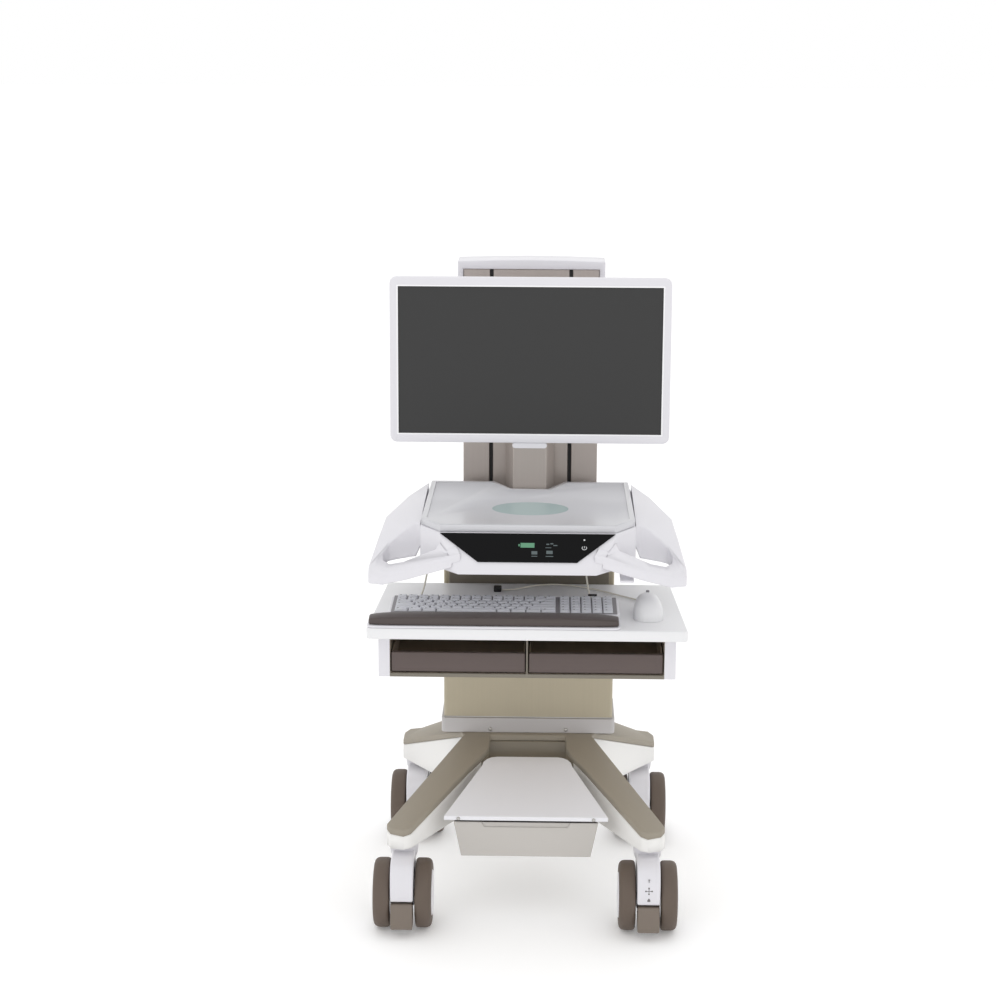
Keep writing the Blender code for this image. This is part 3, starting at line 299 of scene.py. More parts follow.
def makeFinishes():
    print("finishes")
    return {
        "white": surfaceFinish("mouldedWhite", (0.725, 0.715, 0.75), 0.34, grain=900, grainDepth=0.10,
                               vary=0.012, coat=0.15),
        "brightWhite": surfaceFinish("brightWhite", (0.88, 0.88, 0.89), 0.3, grain=900, grainDepth=0.05,
                                     vary=0.01),
        "warmWhite": surfaceFinish("mouldedWarmWhite", (0.83, 0.82, 0.80), 0.34, grain=900, grainDepth=0.10,
                                   vary=0.012, coat=0.15),
        "trayWhite": surfaceFinish("laminateWhite", (0.79, 0.79, 0.80), 0.38, grain=700, grainDepth=0.08,
                                   vary=0.01),
        "taupe": surfaceFinish("grainedTaupe", (0.315, 0.280, 0.225), 0.55, grain=1500, grainDepth=0.35,
                               vary=0.05),
        "tyre": surfaceFinish("tyreRubber", (0.118, 0.088, 0.068), 0.62, grain=1200, grainDepth=0.25,
                              vary=0.08),
        "pedal": surfaceFinish("pedalTaupe", (0.185, 0.150, 0.122), 0.5, grain=1400, grainDepth=0.3,
                               vary=0.06),
        "column": surfaceFinish("brushedOlive", (0.43, 0.385, 0.29), 0.42, 0.55, grain=260, grainDepth=0.25,
                                stretch=(1, 1, 0.012), vary=0.10, roughVary=0.10),
        "mast": surfaceFinish("brushedGreige", (0.49, 0.44, 0.405), 0.38, 0.6, grain=300, grainDepth=0.2,
                              stretch=(1, 1, 0.012), vary=0.08, roughVary=0.08),
        "collar": surfaceFinish("collarGrey", (0.50, 0.485, 0.485), 0.5, grain=900, grainDepth=0.1,
                                vary=0.02),
        "bin": surfaceFinish("binGrey", (0.52, 0.495, 0.465), 0.48, grain=1100, grainDepth=0.2, vary=0.02),
        "lid": surfaceFinish("lidWhite", (0.80, 0.80, 0.83), 0.36, grain=900, grainDepth=0.08, vary=0.01),
        "glossBlack": surfaceFinish("glassBlack", (0.004, 0.004, 0.0045), 0.32, grain=300, grainDepth=0.01,
                                    vary=0.05, roughVary=0.02, specular=0.10),
        "sealBlack": surfaceFinish("sealBlack", (0.012, 0.012, 0.012), 0.6, grain=900, grainDepth=0.2),
        "screen": surfaceFinish("screenGlass", (0.050, 0.050, 0.050), 0.40, grain=2500, grainDepth=0.02,
                                vary=0.01, roughVary=0.02, specular=0.12),
        "drawer": surfaceFinish("drawerBrushed", (0.112, 0.086, 0.080), 0.42, 0.35, grain=280, grainDepth=0.2,
                                stretch=(0.012, 1, 1), vary=0.08),
        "drawerInside": surfaceFinish("drawerInside", (0.48, 0.41, 0.34), 0.5, grain=260, grainDepth=0.15,
                                      stretch=(0.012, 1, 1), vary=0.06),
        "pad": surfaceFinish("padSkin", (0.068, 0.052, 0.048), 0.55, grain=1300, grainDepth=0.4, vary=0.08,
                             sheen=0.15),
        "key": surfaceFinish("keyWhite", (0.68, 0.69, 0.73), 0.5, grain=1500, grainDepth=0.12, vary=0.01),
        "keyDeck": surfaceFinish("keyDeck", (0.26, 0.25, 0.26), 0.5, grain=1200, grainDepth=0.1, vary=0.02),
        "cord": surfaceFinish("cordWhite", (0.72, 0.69, 0.60), 0.5, grain=1500, grainDepth=0.1, vary=0.03),
        "steel": surfaceFinish("zincSteel", (0.50, 0.49, 0.47), 0.32, 1.0, grain=500, grainDepth=0.1,
                               vary=0.05),
        "clear": surfaceFinish("clearCover", (0.60, 0.60, 0.625), 0.30, grain=700, grainDepth=0.02, vary=0.02,
                               coat=0.25),
        "decal": surfaceFinish("decalTeal", (0.44, 0.57, 0.575), 0.3, grain=700, grainDepth=0.02, vary=0.04,
                               coat=0.4),
        "inkGrey": surfaceFinish("inkGrey", (0.16, 0.15, 0.15), 0.6, grain=900, grainDepth=0.05),
        "iconWhite": surfaceFinish("iconWhite", (0.62, 0.63, 0.64), 0.5, grain=900, grainDepth=0.02),
        "iconDim": surfaceFinish("iconDim", (0.085, 0.11, 0.115), 0.5, grain=900, grainDepth=0.02),
        "iconGreen": surfaceFinish("iconGreen", (0.10, 0.27, 0.16), 0.5, grain=900, grainDepth=0.02),
    }


# ---- cords

cordSetup = {"gap": 0.0003, "samples": 5}
mouseCord = {"width": 0.0028, "points": [
    (0.214, -0.1497), (0.2125, -0.138), (0.205, -0.122), (0.192, -0.107), (0.176, -0.093), (0.158, -0.076),
    (0.138, -0.057), (0.117, -0.040), (0.095, -0.026), (0.072, -0.016), (0.048, -0.012), (0.026, -0.015),
    (0.007, -0.024), (-0.010, -0.037), (-0.026, -0.048), (-0.040, -0.053), (-0.0497, -0.054)]}
keyboardCord = {"width": 0.0032, "left": [
    (-0.178, -0.110, 0.6737), (-0.178, -0.110, 0.660), (-0.180, -0.111, 0.640), (-0.184, -0.113, 0.618),
    (-0.188, -0.115, 0.598), (-0.192, -0.118, 0.584), (-0.196, -0.124, 0.576), (-0.199, -0.133, 0.5722),
    (-0.200, -0.1497, 0.5722)], "right": [
    (0.102, -0.110, 0.6737), (0.102, -0.110, 0.660), (0.103, -0.111, 0.640), (0.105, -0.113, 0.618),
    (0.108, -0.115, 0.598), (0.111, -0.118, 0.584), (0.114, -0.124, 0.576), (0.116, -0.133, 0.5722),
    (0.117, -0.1497, 0.5722)]}


def smoothRoute(points, samples):
    # a smooth curve through the route's own points
    route = [Vector(p) for p in points]
    ends = [route[0] * 2 - route[1]] + route + [route[-1] * 2 - route[-2]]
    line = []
    for i in range(1, len(ends) - 2):
        before, here, after, beyond = ends[i - 1:i + 3]
        for step in range(samples):
            t = step / samples
            line.append(0.5 * (2 * here + (after - before) * t
                               + (2 * before - 5 * here + 4 * after - beyond) * t ** 2
                               + (3 * here - before - 3 * after + beyond) * t ** 3))
    line.append(route[-1])
    return line


def sweepTube(line, radius, sides=14):
    # rings turned along the line without twisting, closed by a flat cap at each end
    bm = bmesh.new()
    across = Vector((0, 0, 1))
    rings = []
    for index, point in enumerate(line):
        ahead = line[min(index + 1, len(line) - 1)] - line[max(index - 1, 0)]
        ahead.normalize()
        across = across - ahead * across.dot(ahead)
        if across.length < 1e-3:
            across = ahead.orthogonal()
        across.normalize()
        upward = ahead.cross(across)
        turns = [2 * math.pi * side / sides for side in range(sides)]
        rings.append([bm.verts.new(point + (across * math.cos(t) + upward * math.sin(t)) * radius)
                      for t in turns])
    for near, far in zip(rings, rings[1:]):
        for side in range(sides):
            bm.faces.new((near[side], near[side - 1], far[side - 1], far[side]))
    bm.faces.new(rings[0])
    bm.faces.new(rings[-1])
    return bm


def addCord(name, points, width, material, node, body):
    line = smoothRoute(points, cordSetup["samples"])
    piece = addPiece(name, sweepTube(line, width / 2), material, body, 40)
    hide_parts(node)
    return piece


def makeCords(finishes):
    print("cords")
    trayTop = high("keyboard_tray").z
    height = trayTop + cordSetup["gap"] + mouseCord["width"] / 2 + cordSetup["gap"]
    route = [(x, y + yShift, height) for x, y in mouseCord["points"]]
    addCord("mouseLead", route, mouseCord["width"], finishes["cord"], "mouse_cord", "tray")
    for side in ("left", "right"):
        points = [(x, y + yShift, z) for x, y, z in keyboardCord[side]]
        lead = addCord("keyboardLead_" + side, points, keyboardCord["width"], finishes["cord"],
                       "keyboard_cord_" + side, None)
        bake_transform(lead)


# ---- casters

casterShape = {"tyreSteps": 72, "hubSteps": 48, "stemSteps": 40, "forkHalf": 0.0205, "tyreBore": 0.0422,
               "swivelBehind": 0.030}


def makeTyres(finishes):
    for tag in casterTags:
        hub = middle("caster_hub_" + tag)
        for kind in ("inner", "outer"):
            node = f"caster_tyre_{kind}_{tag}"
            side = 1 if middle(node).x > hub.x else -1
            near = abs((low(node).x if side > 0 else high(node).x) - hub.x)
            width = high(node).x - low(node).x
            radius = (high(node).z - low(node).z) / 2
            bore = casterShape["tyreBore"]
            profile = [(0, bore), (0, radius - 0.008), (0.0006, radius - 0.004), (0.002, radius - 0.0015),
                       (0.0045, radius - 0.0003), (0.008, radius), (width - 0.0115, radius),
                       (width - 0.0075, radius - 0.0006), (width - 0.004, radius - 0.0022),
                       (width - 0.0015, radius - 0.0052), (width - 0.0003, radius - 0.009),
                       (width, radius - 0.0125), (width - 0.0006, bore + 0.0015), (width - 0.0014, bore)]
            profile = [(side * (near + x), r) for x, r in profile]
            centre = Vector((hub.x, middle(node).y, middle(node).z))
            bm = spinAboutX(profile, centre, casterShape["tyreSteps"])
            piece = addPiece(f"tyre_{kind}_{tag}", bm, finishes["tyre"], nodeBody[node], 35)
            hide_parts(node)


def makeHubs(finishes):
    for tag in casterTags:
        node = "caster_hub_" + tag
        centre = middle(node)
        reach = (high(node).x - low(node).x) / 2
        halfSide = [(0.0235, 0.0060), (0.0235, 0.0410), (reach - 0.0035, 0.0410), (reach - 0.0022, 0.0404),
                    (reach - 0.0016, 0.0390), (reach - 0.0010, 0.0300), (reach - 0.0004, 0.0180),
                    (reach - 0.0003, 0.0125), (reach - 0.0010, 0.0120), (reach - 0.0010, 0.0114),
                    (reach, 0.0108), (reach, 0.0)]
        profile = [(-x, r) for x, r in reversed(halfSide)] + halfSide
        bm = spinAboutX(profile, centre, casterShape["hubSteps"])
        piece = addPiece("hub_" + tag, bm, finishes["white"], nodeBody[node], 30)
        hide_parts(node)


def makeForks(finishes):
    # a curved housing between the wheels under a turned stem
    half = casterShape["forkHalf"]
    for tag in casterTags:
        node = "caster_fork_" + tag
        hub = middle("caster_hub_" + tag)
        swivelY = hub.y + casterShape["swivelBehind"]
        top = high(node).z
        sideView = [(0.0245, 0.138), (0.0235, 0.122), (0.019, 0.102), (0.010, 0.086), (0.000, 0.072),
                    (-0.006, 0.054), (-0.014, 0.044), (-0.030, 0.041), (-0.050, 0.044), (-0.0585, 0.056),
                    (-0.063, 0.0655), (-0.0905, 0.0675), (-0.0925, 0.078), (-0.0923, 0.100), (-0.0905, 0.112),
                    (-0.0865, 0.122), (-0.080, 0.130), (-0.071, 0.1355), (-0.058, 0.1385)]
        loop = [(hub.x - half, swivelY + y, z) for y, z in sideView]
        bm = extrudeLoop(loop, (2 * half, 0, 0))
        body = addPiece("fork_" + tag, bm, finishes["white"], nodeBody[node], 40)
        addBevel(body, 0.0035, 4, 40)
        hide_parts(node)
        bm = bmesh.new()
        stem = [(0.0, top), (0.0252, top), (0.0258, top - 0.0008), (0.0258, 0.1385), (0.0245, 0.1290),
                (0.0222, 0.1230), (0.0, 0.1230)]
        verts = [bm.verts.new((hub.x + r, swivelY, z)) for r, z in stem]
        edges = [bm.edges.new(pair) for pair in zip(verts, verts[1:])]
        bmesh.ops.spin(bm, geom=verts + edges, cent=(hub.x, swivelY, 0), axis=(0, 0, 1), angle=2 * math.pi,
                       steps=casterShape["stemSteps"], use_merge=True)
        addPiece("stem_" + tag, bm, finishes["white"], nodeBody[node], 35)
        pedal = refineNode("caster_pedal_" + tag, "pedal_" + tag, finishes["pedal"], 35)
        addBevel(pedal, 0.0008, 2, 30)


symbolSetup = {"depth": 0.0004, "stroke": 0.0011, "face": 0.0921, "upperBack": 0.0012, "crossHeight": 0.0955}


def markPlate(bm, x, y, z, width, height):
    depth = symbolSetup["depth"]
    boxAt(bm, (x - width / 2, y - depth, z - height / 2), (x + width / 2, y + depth, z + height / 2))


def makeCasterSymbols(finishes):
    # the three generic caster settings: one way, all ways, locked
    hub = middle("caster_hub_front_right")
    faceY = hub.y + casterShape["swivelBehind"] - symbolSetup["face"]
    upperY = faceY + symbolSetup["upperBack"]
    stroke, crossZ = symbolSetup["stroke"], symbolSetup["crossHeight"]
    bm = bmesh.new()
    markPlate(bm, hub.x, upperY, 0.1140, stroke, 0.0050)
    markPlate(bm, hub.x, upperY, 0.1165, 0.0030, stroke)
    markPlate(bm, hub.x, faceY, crossZ, stroke, 0.0110)
    markPlate(bm, hub.x, faceY, crossZ, 0.0110, stroke)
    for dx, dz in ((0.0055, 0), (-0.0055, 0), (0, 0.0055), (0, -0.0055)):
        markPlate(bm, hub.x + dx, faceY, crossZ + dz, 0.0026, 0.0026)
    markPlate(bm, hub.x, faceY, 0.0775, 0.0052, 0.0040)
    markPlate(bm, hub.x, faceY, 0.0805, 0.0028, 0.0022)
    addPiece("casterSymbols", bm, finishes["inkGrey"], "swivel_front_right")


def makeCasters(finishes):
    print("casters")
    makeTyres(finishes)
    makeHubs(finishes)
    makeForks(finishes)
    makeCasterSymbols(finishes)


# ---- base and column

screwSetup = {"collar": (0.072, 0.2735, 0.0036), "lid": (0.122, 0.1948, 0.0034), "sunk": 0.0001}
binRecess = {"half": 0.096, "front": 0.0026, "back": 0.0046, "bottom": 0.168, "top": 0.1862}
columnTrim = {"proud": 0.0004, "depth": 0.002, "height": 0.002}
# the base frame's hub zone in front of the column: real taupe, painted darker than the cover's taupe as shade
# on the hub
frameTaupeAndShade = {"half": 0.0865, "above": 0.185, "colour": (0.235, 0.205, 0.155)}


def addScrew(name, place, radius, material, body):
    # a pan-head screw facing forward
    bm = bmesh.new()
    profile = [(0.0, 0.0026), (0.55, 0.0024), (0.85, 0.0017), (1.0, 0.0006), (1.0, 0.0)]
    verts = [bm.verts.new((place.x + share * radius, place.y - depth, place.z)) for share, depth in profile]
    edges = [bm.edges.new(pair) for pair in zip(verts, verts[1:])]
    bmesh.ops.spin(bm, geom=verts + edges, cent=place, axis=(0, 1, 0), angle=2 * math.pi, steps=24,
                   use_merge=True)
    bmesh.ops.holes_fill(bm, edges=[edge for edge in bm.edges if edge.is_boundary], sides=0)
    addPiece(name, bm, material, body, 35)


def makeBase(finishes):
    print("base")
    refineNode("base_cover", "baseCover", finishes["taupe"], 40)
    # white frame with a taupe hub, the hub's taupe darkened by painted shade
    frameFinish = zoneFinish(finishes["warmWhite"], "frameTwoToneAndShade", [
        ([("X", "near", frameTaupeAndShade["half"]), ("Z", "above", frameTaupeAndShade["above"]),
          ("Y", "below", middle("column_outer").y)], frameTaupeAndShade["colour"])])
    refineNode("base_frame", "baseFrame", frameFinish, 40)
    refineNode("column_collar", "columnCollar", finishes["collar"], 30, 0.0012)
    refineNode("bin_lid", "binLid", finishes["lid"], 40, 0.0006)
    refineNode("bin_rails", "binRails", finishes["steel"], 30, 0.0004)
    refineNode("storage_bin", "storageBin", finishes["bin"], 30, 0.0012)
    bm = bmesh.new()
    binFront = low("storage_bin").y
    boxAt(bm, (-binRecess["half"], binFront + binRecess["front"], binRecess["bottom"]),
          (binRecess["half"], binFront + binRecess["back"], binRecess["top"]))
    addPiece("binRecessBack", bm, finishes["bin"], "bin")
    for side, sideName in ((-1, "left"), (1, "right")):
        for kind, node in (("collar", "column_collar"), ("lid", "bin_lid")):
            across, height, radius = screwSetup[kind]
            place = Vector((side * across, low(node).y - screwSetup["sunk"], height))
            addScrew(f"{kind}Screw_{sideName}", place, radius, finishes["steel"], "base")


def makeColumn(finishes):
    print("column")
    refineNode("column_outer", "columnOuter", finishes["column"], 30)
    refineNode("column_middle", "columnMiddle", finishes["column"], 30)
    refineNode("column_mast", "mast", finishes["mast"], 30)
    refineNode("display_post", "displayPost", finishes["mast"], 30)
    refineNode("mast_cap", "mastCap", finishes["white"], 40)
    # the slot seal strips are black, and their black also stands in as painted shade for the dark hollow of
    # the slot
    for side in ("left", "right"):
        refineNode("mast_slot_seal_" + side, "slotSealShade_" + side, finishes["sealBlack"], 30)
    # a pale trim line where the lower column meets its collar
    lowEnd, highEnd = low("column_outer"), high("column_outer")
    bm = bmesh.new()
    proud = columnTrim["proud"]
    boxAt(bm, (lowEnd.x - proud, lowEnd.y - proud, lowEnd.z),
          (highEnd.x + proud, lowEnd.y + columnTrim["depth"], lowEnd.z + columnTrim["height"]))
    addPiece("columnTrim", bm, finishes["steel"], "base")


# ---- head

def makeHead(finishes):
    print("head")
    refineNode("head_shell", "headShell", finishes["white"], 40)
    refineNode("handle_left", "handleLeft", finishes["white"], 38)
    refineNode("handle_right", "handleRight", finishes["white"], 38)
    refineNode("head_bracket", "headBracket", finishes["collar"], 30, 0.001)
    refineNode("lift_lever", "liftLever", finishes["white"], 30, 0.001)
    refineNode("worksurface", "worksurfaceCover", finishes["clear"], 40)
    makePanel(finishes)
    makeDecal(finishes)


panelSetup = {"iconLift": 0.0004, "iconDepth": 0.0005, "marks": {
    "iconGreen": [(0.000, 0.42, 0.024, 0.0085), (-0.0145, 0.42, 0.0022, 0.004)],
    "iconDim": [(0.035, 0.38, 0.005, 0.0022), (0.042, 0.36, 0.005, 0.0022), (0.048, 0.42, 0.007, 0.0018),
                (0.012, 0.68, 0.010, 0.006), (0.038, 0.66, 0.011, 0.006), (0.012, 0.80, 0.010, 0.0014),
                (0.038, 0.80, 0.013, 0.0014), (0.036, 0.50, 0.010, 0.0012)],
    "iconWhite": [(0.098, 0.22, 0.0026, 0.0026), (0.098, 0.47, 0.0009, 0.0035)]}}
powerRing = {"across": 0.098, "down": 0.50, "radius": 0.0040, "share": 0.058, "steps": 24, "open": 3,
             "width": 0.0011, "height": 0.0008}
decalShape = {"x": 0.003, "y": -0.150, "halfWidth": 0.068, "halfDepth": 0.050, "below": 0.0019,
              "thickness": 0.0002}


def panelPoint(across, down):
    # a point on the panel's sloping face: metres across, and share of the way down
    mesh = bpy.data.objects["control_panel"].data
    front = max((face for face in mesh.polygons if face.normal.y < -0.2), key=lambda face: face.area)
    corners = [vert.co for vert in mesh.vertices if abs((vert.co - front.center).dot(front.normal)) < 2e-5]
    top = max(corners, key=lambda corner: corner.z)
    bottom = min(corners, key=lambda corner: corner.z)
    point = top.lerp(bottom, down)
    return Vector((across, point.y, point.z))


def panelMark(bm, across, down, width, height):
    slope = (panelPoint(0, 1) - panelPoint(0, 0)).normalized()
    normal = Vector((0, slope.z, -slope.y)).normalized()
    centre = panelPoint(across, down) + normal * panelSetup["iconLift"]
    axes = (Vector((1, 0, 0)) * width, slope * height, normal * panelSetup["iconDepth"], centre)
    place = Matrix([axis.to_4d() for axis in axes]).transposed()
    place[3] = (0, 0, 0, 1)
    bmesh.ops.create_cube(bm, size=1, matrix=place)


def makePanel(finishes):
    refineNode("control_panel", "controlPanel", finishes["glossBlack"], 30, 0.0006)
    for finish, spots in panelSetup["marks"].items():
        bm = bmesh.new()
        for spot in spots:
            panelMark(bm, *spot)
        if finish == "iconWhite":
            steps = powerRing["steps"]
            for step in range(powerRing["open"], steps - powerRing["open"] + 1):
                angle = math.radians(360 * step / steps - 90)
                panelMark(bm, powerRing["across"] + powerRing["radius"] * math.cos(angle),
                          powerRing["down"] + powerRing["share"] * math.sin(angle),
                          powerRing["width"], powerRing["height"])
        addPiece("panel" + finish, bm, finishes[finish], "head")


def makeDecal(finishes):
    # a plain printed oval in the cover's recess
    place = (decalShape["x"], decalShape["y"] + yShift, high("worksurface").z - decalShape["below"])
    bm = bmesh.new()
    bmesh.ops.create_circle(bm, cap_ends=True, segments=64, radius=1,
                            matrix=Matrix.Translation(place)
                            @ Matrix.Diagonal((decalShape["halfWidth"], decalShape["halfDepth"], 1, 1)))
    grown = bmesh.ops.extrude_face_region(bm, geom=bm.faces[:])
    bmesh.ops.translate(bm, verts=[v for v in grown["geom"] if isinstance(v, bmesh.types.BMVert)],
                        vec=(0, 0, decalShape["thickness"]))
    addPiece("surfaceDecal", bm, finishes["decal"], "head")


# ---- cabinet, tray and what lies on it

# the edge colour is a taupe darkened with painted shade, used on the cabinet's front edge and back wall
cabinetZones = {"cheek": 0.0200, "frontEdge": 0.003, "backWall": 0.0115, "edgeShadeColour": (0.185, 0.165, 0.132),
                "insideColour": (0.50, 0.42, 0.33)}


def makeCabinet(finishes):
    # white cheeks, a warm inside, and a front edge and back wall in taupe darkened with painted shade under
    # the tray
    print("cabinet")
    cheek = high("drawer_cabinet").x - cabinetZones["cheek"]
    front = low("drawer_cabinet").y + cabinetZones["frontEdge"]
    rear = high("drawer_cabinet").y - cabinetZones["backWall"]
    cabinetFinish = zoneFinish(finishes["white"], "cabinetToneAndShade", [
        ([("X", "near", cheek)], cabinetZones["edgeShadeColour"]),
        ([("X", "near", cheek), ("Y", "above", front), ("Y", "below", rear)], cabinetZones["insideColour"])])
    refineNode("drawer_cabinet", "drawerCabinet", cabinetFinish, 30, 0.0012)
    for side in ("left", "right"):
        refineNode("drawer_front_" + side, "drawerFront_" + side, finishes["drawer"], 40)
        refineNode("drawer_box_" + side, "drawerBox_" + side, finishes["drawerInside"], 30, 0.0005)


keySetup = {"pitch": 0.01905, "deck": 0.0008, "edge": 0.002, "side": 0.005, "seam": 0.0008, "rowSeam": 0.0009,
            "taper": (0.0016, 0.0012), "gapUnits": 0.3, "padUnits": [1.0] * 5, "mark": (0.0052, 0.0080),
            "markDown": (0.0078, 0.0050), "markHeight": 0.0001, "rows": [
    [1.0] * 15, [1.0] * 13 + [2.0], [1.5] + [1.0] * 12 + [1.5], [1.8] + [1.0] * 11 + [2.2],
    [2.3] + [1.0] * 10 + [2.7], [1.3, 1.3, 1.3, 5.6, 1.3, 1.4, 1.4, 1.4]]}
plugShape = {"left": 0.108, "right": 0.124, "front": 0.0045, "back": 0.0005, "below": 0.001, "above": 0.0022}


def addKey(bm, x0, x1, y0, y1, z0, z1):
    verts = boxAt(bm, (x0, y0, z0), (x1, y1, z1))
    centre = Vector(((x0 + x1) / 2, (y0 + y1) / 2, 0))
    for vert in verts:
        if vert.co.z > (z0 + z1) / 2:
            reach = vert.co - centre
            vert.co.x -= math.copysign(keySetup["taper"][0], reach.x)
            vert.co.y -= math.copysign(keySetup["taper"][1], reach.y)


def makeKeyboard(finishes):
    refineNode("keyboard_case", "keyboardCase", finishes["white"], 40, 0.0008)
    lowEnd, highEnd = low("keyboard_keys"), high("keyboard_keys")
    bm = bmesh.new()
    deckTop = lowEnd.z + keySetup["deck"]
    boxAt(bm, (lowEnd.x, lowEnd.y, lowEnd.z), (highEnd.x, highEnd.y, deckTop))
    deck = addPiece("keyDeck", bm, finishes["keyDeck"], "tray")
    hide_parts("keyboard_keys")
    bm = bmesh.new()
    marks = bmesh.new()
    rows = keySetup["rows"]
    rowDepth = (highEnd.y - lowEnd.y - 2 * keySetup["edge"]) / len(rows)
    seam, rowSeam = keySetup["seam"], keySetup["rowSeam"]
    for row, widths in enumerate(rows):
        top = highEnd.y - keySetup["edge"] - row * rowDepth
        x = lowEnd.x + keySetup["side"]
        for width in widths + [keySetup["gapUnits"]] + keySetup["padUnits"]:
            reach = width * keySetup["pitch"]
            if width != keySetup["gapUnits"] and x + reach < highEnd.x:
                addKey(bm, x + seam, x + reach - seam, top - rowDepth + rowSeam, top - rowSeam, deckTop,
                       highEnd.z)
                if width < 2:
                    boxAt(marks, (x + keySetup["mark"][0], top - keySetup["markDown"][0], highEnd.z),
                          (x + keySetup["mark"][1], top - keySetup["markDown"][1],
                           highEnd.z + keySetup["markHeight"]))
            x += reach
    plugBack = high("keyboard_case").y
    plug = bmesh.new()
    boxAt(plug, (plugShape["left"], plugBack - plugShape["front"], highEnd.z - plugShape["below"]),
          (plugShape["right"], plugBack - plugShape["back"], highEnd.z + plugShape["above"]))
    addPiece("keyboardPlug", plug, finishes["sealBlack"], "tray")
    keySet = addPiece("keyCaps", bm, finishes["key"], "tray", 25)
    addBevel(keySet, 0.0006, 2, 30)
    addPiece("keyMarks", marks, finishes["inkGrey"], "tray")


mouseShape = {"corner": 2.8, "taper": (0.86, -0.14), "crown": 0.72, "frontDrop": 0.16,
              "wheelAhead": 0.026, "wheelSunk": 0.0052}


def makeMouse(finishes):
    # a squared dome, wider at the palm, with a wheel near its front
    lowEnd, highEnd = low("mouse"), high("mouse")
    centre = (lowEnd + highEnd) / 2
    bm = bmesh.new()
    bmesh.ops.create_uvsphere(bm, u_segments=56, v_segments=28, radius=1)
    for vert in bm.verts:
        x, y, z = vert.co
        ring = math.hypot(x, y)
        if ring > 1e-6:
            corner = mouseShape["corner"]
            square = (abs(x / ring) ** corner + abs(y / ring) ** corner) ** (1 / corner)
            x, y = x / square, y / square
        taper = mouseShape["taper"][0] + mouseShape["taper"][1] * y
        up = max(0.0, z) ** mouseShape["crown"]
        vert.co = Vector((
            centre.x + x * taper * (highEnd.x - lowEnd.x) / 2,
            centre.y + y * (highEnd.y - lowEnd.y) / 2,
            lowEnd.z + up * (highEnd.z - lowEnd.z) * (1 - mouseShape["frontDrop"] * max(0, -y) ** 2)))
    bmesh.ops.remove_doubles(bm, verts=bm.verts[:], dist=1e-5)
    body = addPiece("mouseBody", bm, finishes["trayWhite"], "tray", 60)
    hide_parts("mouse")
    wheelCentre = Vector((centre.x, centre.y + mouseShape["wheelAhead"], highEnd.z - mouseShape["wheelSunk"]))
    bm = spinAboutX([(-0.003, 0.0), (-0.003, 0.0048), (-0.002, 0.0056), (0.002, 0.0056), (0.003, 0.0048),
                     (0.003, 0.0)], wheelCentre, 24)
    addPiece("mouseWheel", bm, finishes["keyDeck"], "tray", 35)


padShape = {"cuts": {0: 36, 1: 8, 2: 3}, "arch": 0.30, "archPower": 6, "crown": 0.22, "squeeze": 0.22,
            "squeezePower": 14, "tuck": 0.04}


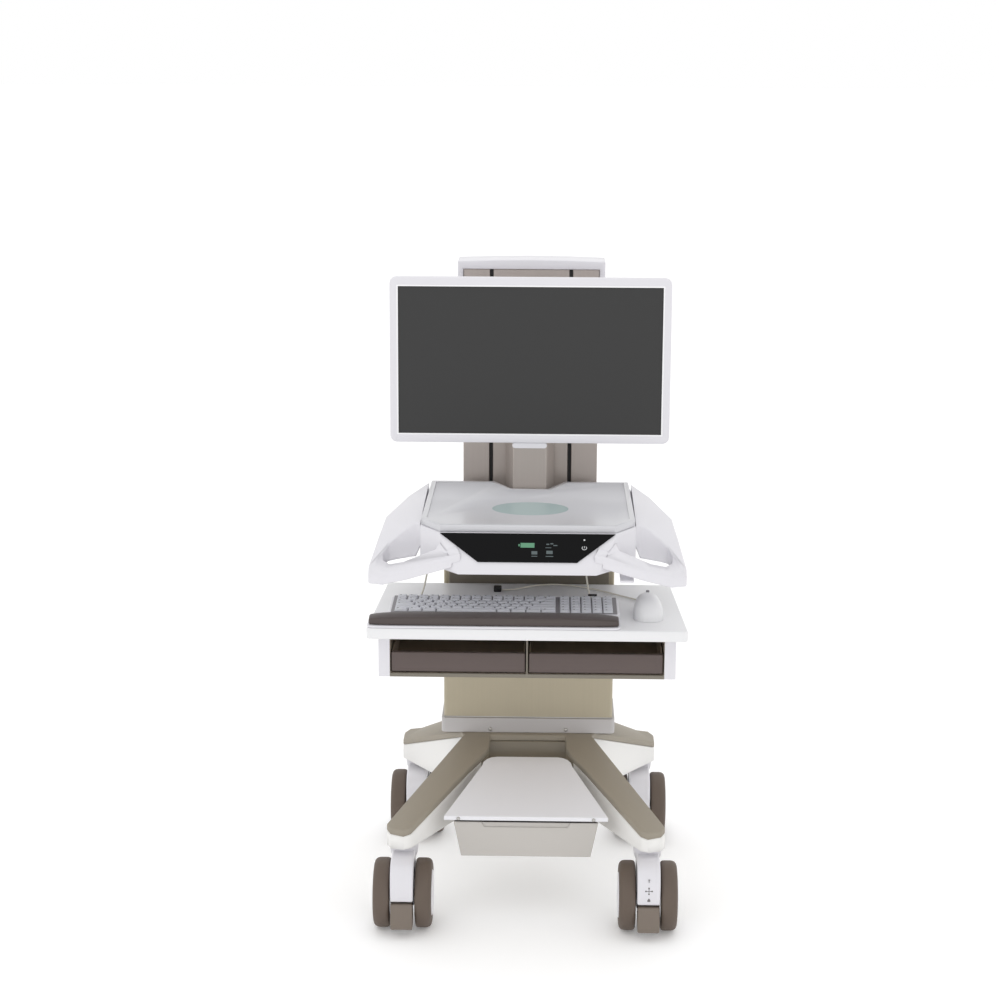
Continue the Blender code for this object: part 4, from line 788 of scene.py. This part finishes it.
def makeWristRest(finishes):
    # an arched pad with round ends, its skin tucked in at the base
    lowEnd, highEnd = low("wrist_rest"), high("wrist_rest")
    bm = bmesh.new()
    boxAt(bm, lowEnd, highEnd)
    for axis, cuts in padShape["cuts"].items():
        edges = [e for e in bm.edges if abs((e.verts[0].co - e.verts[1].co)[axis]) > 1e-4]
        bmesh.ops.subdivide_edges(bm, edges=edges, cuts=cuts, use_grid_fill=True)
    length, depth, height = highEnd - lowEnd
    for vert in bm.verts:
        across = (vert.co.x - lowEnd.x) / length * 2 - 1
        along = (vert.co.y - lowEnd.y) / depth * 2 - 1
        rise = (vert.co.z - lowEnd.z) / height
        arch = 1 - padShape["arch"] * abs(across) ** padShape["archPower"]
        crown = 1 - padShape["crown"] * along ** 2
        vert.co.z = lowEnd.z + rise * height * arch * crown
        squeeze = 1 - padShape["squeeze"] * abs(across) ** padShape["squeezePower"]
        tuck = 1 - padShape["tuck"] * (1 - rise)
        vert.co.y = (lowEnd.y + highEnd.y) / 2 + along * depth / 2 * squeeze * tuck
    pad = addPiece("wristPad", bm, finishes["pad"], "tray", 180)
    addBevel(pad, 0.0035, 3, 40)
    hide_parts("wrist_rest")


def makeTray(finishes):
    print("tray")
    refineNode("keyboard_tray", "keyboardTray", finishes["trayWhite"], 40)
    refineNode("wrist_plate", "wristPlate", finishes["white"], 30, 0.0012)
    refineNode("usb_connector", "usbPlug", finishes["sealBlack"], 30)
    makeKeyboard(finishes)
    makeMouse(finishes)
    makeWristRest(finishes)


# ---- display

surroundShape = {"outer": 0.003, "inner": 0.0004, "proud": 0.0003, "behind": 0.001}


def rectangle(lowEnd, highEnd, grow):
    return [(lowEnd.x - grow, lowEnd.z - grow), (highEnd.x + grow, lowEnd.z - grow),
            (highEnd.x + grow, highEnd.z + grow), (lowEnd.x - grow, highEnd.z + grow)]


def makeDisplay(finishes):
    print("display")
    refineNode("display_yoke", "displayYoke", finishes["collar"], 30, 0.001)
    refineNode("monitor_back", "monitorBack", finishes["white"], 30)
    refineNode("monitor_bezel", "monitorBezel", finishes["white"], 30)
    refineNode("monitor_tab", "monitorTab", finishes["white"], 30, 0.001)
    refineNode("monitor_screen", "monitorScreen", finishes["screen"], 30)
    lowEnd, highEnd = low("monitor_screen"), high("monitor_screen")
    # the pale line around the glass
    front = low("monitor_bezel").y - surroundShape["proud"]
    behind = low("monitor_bezel").y + surroundShape["behind"]
    bm = bmesh.new()
    outer = rectangle(lowEnd, highEnd, surroundShape["outer"])
    inner = rectangle(lowEnd, highEnd, surroundShape["inner"])
    rings = [[bm.verts.new((x, y, z)) for x, z in loop]
             for loop, y in ((outer, front), (inner, front), (inner, behind), (outer, behind))]
    for near, far in zip(rings, rings[1:] + rings[:1]):
        for corner in range(4):
            bm.faces.new((near[corner], near[corner - 1], far[corner - 1], far[corner]))
    addPiece("screenSurround", bm, finishes["brightWhite"], "display")


def main():
    finishes = makeFinishes()
    setCameraAndLights()
    makeCords(finishes)
    makeCasters(finishes)
    makeBase(finishes)
    makeColumn(finishes)
    makeHead(finishes)
    makeCabinet(finishes)
    makeTray(finishes)
    makeDisplay(finishes)


main()
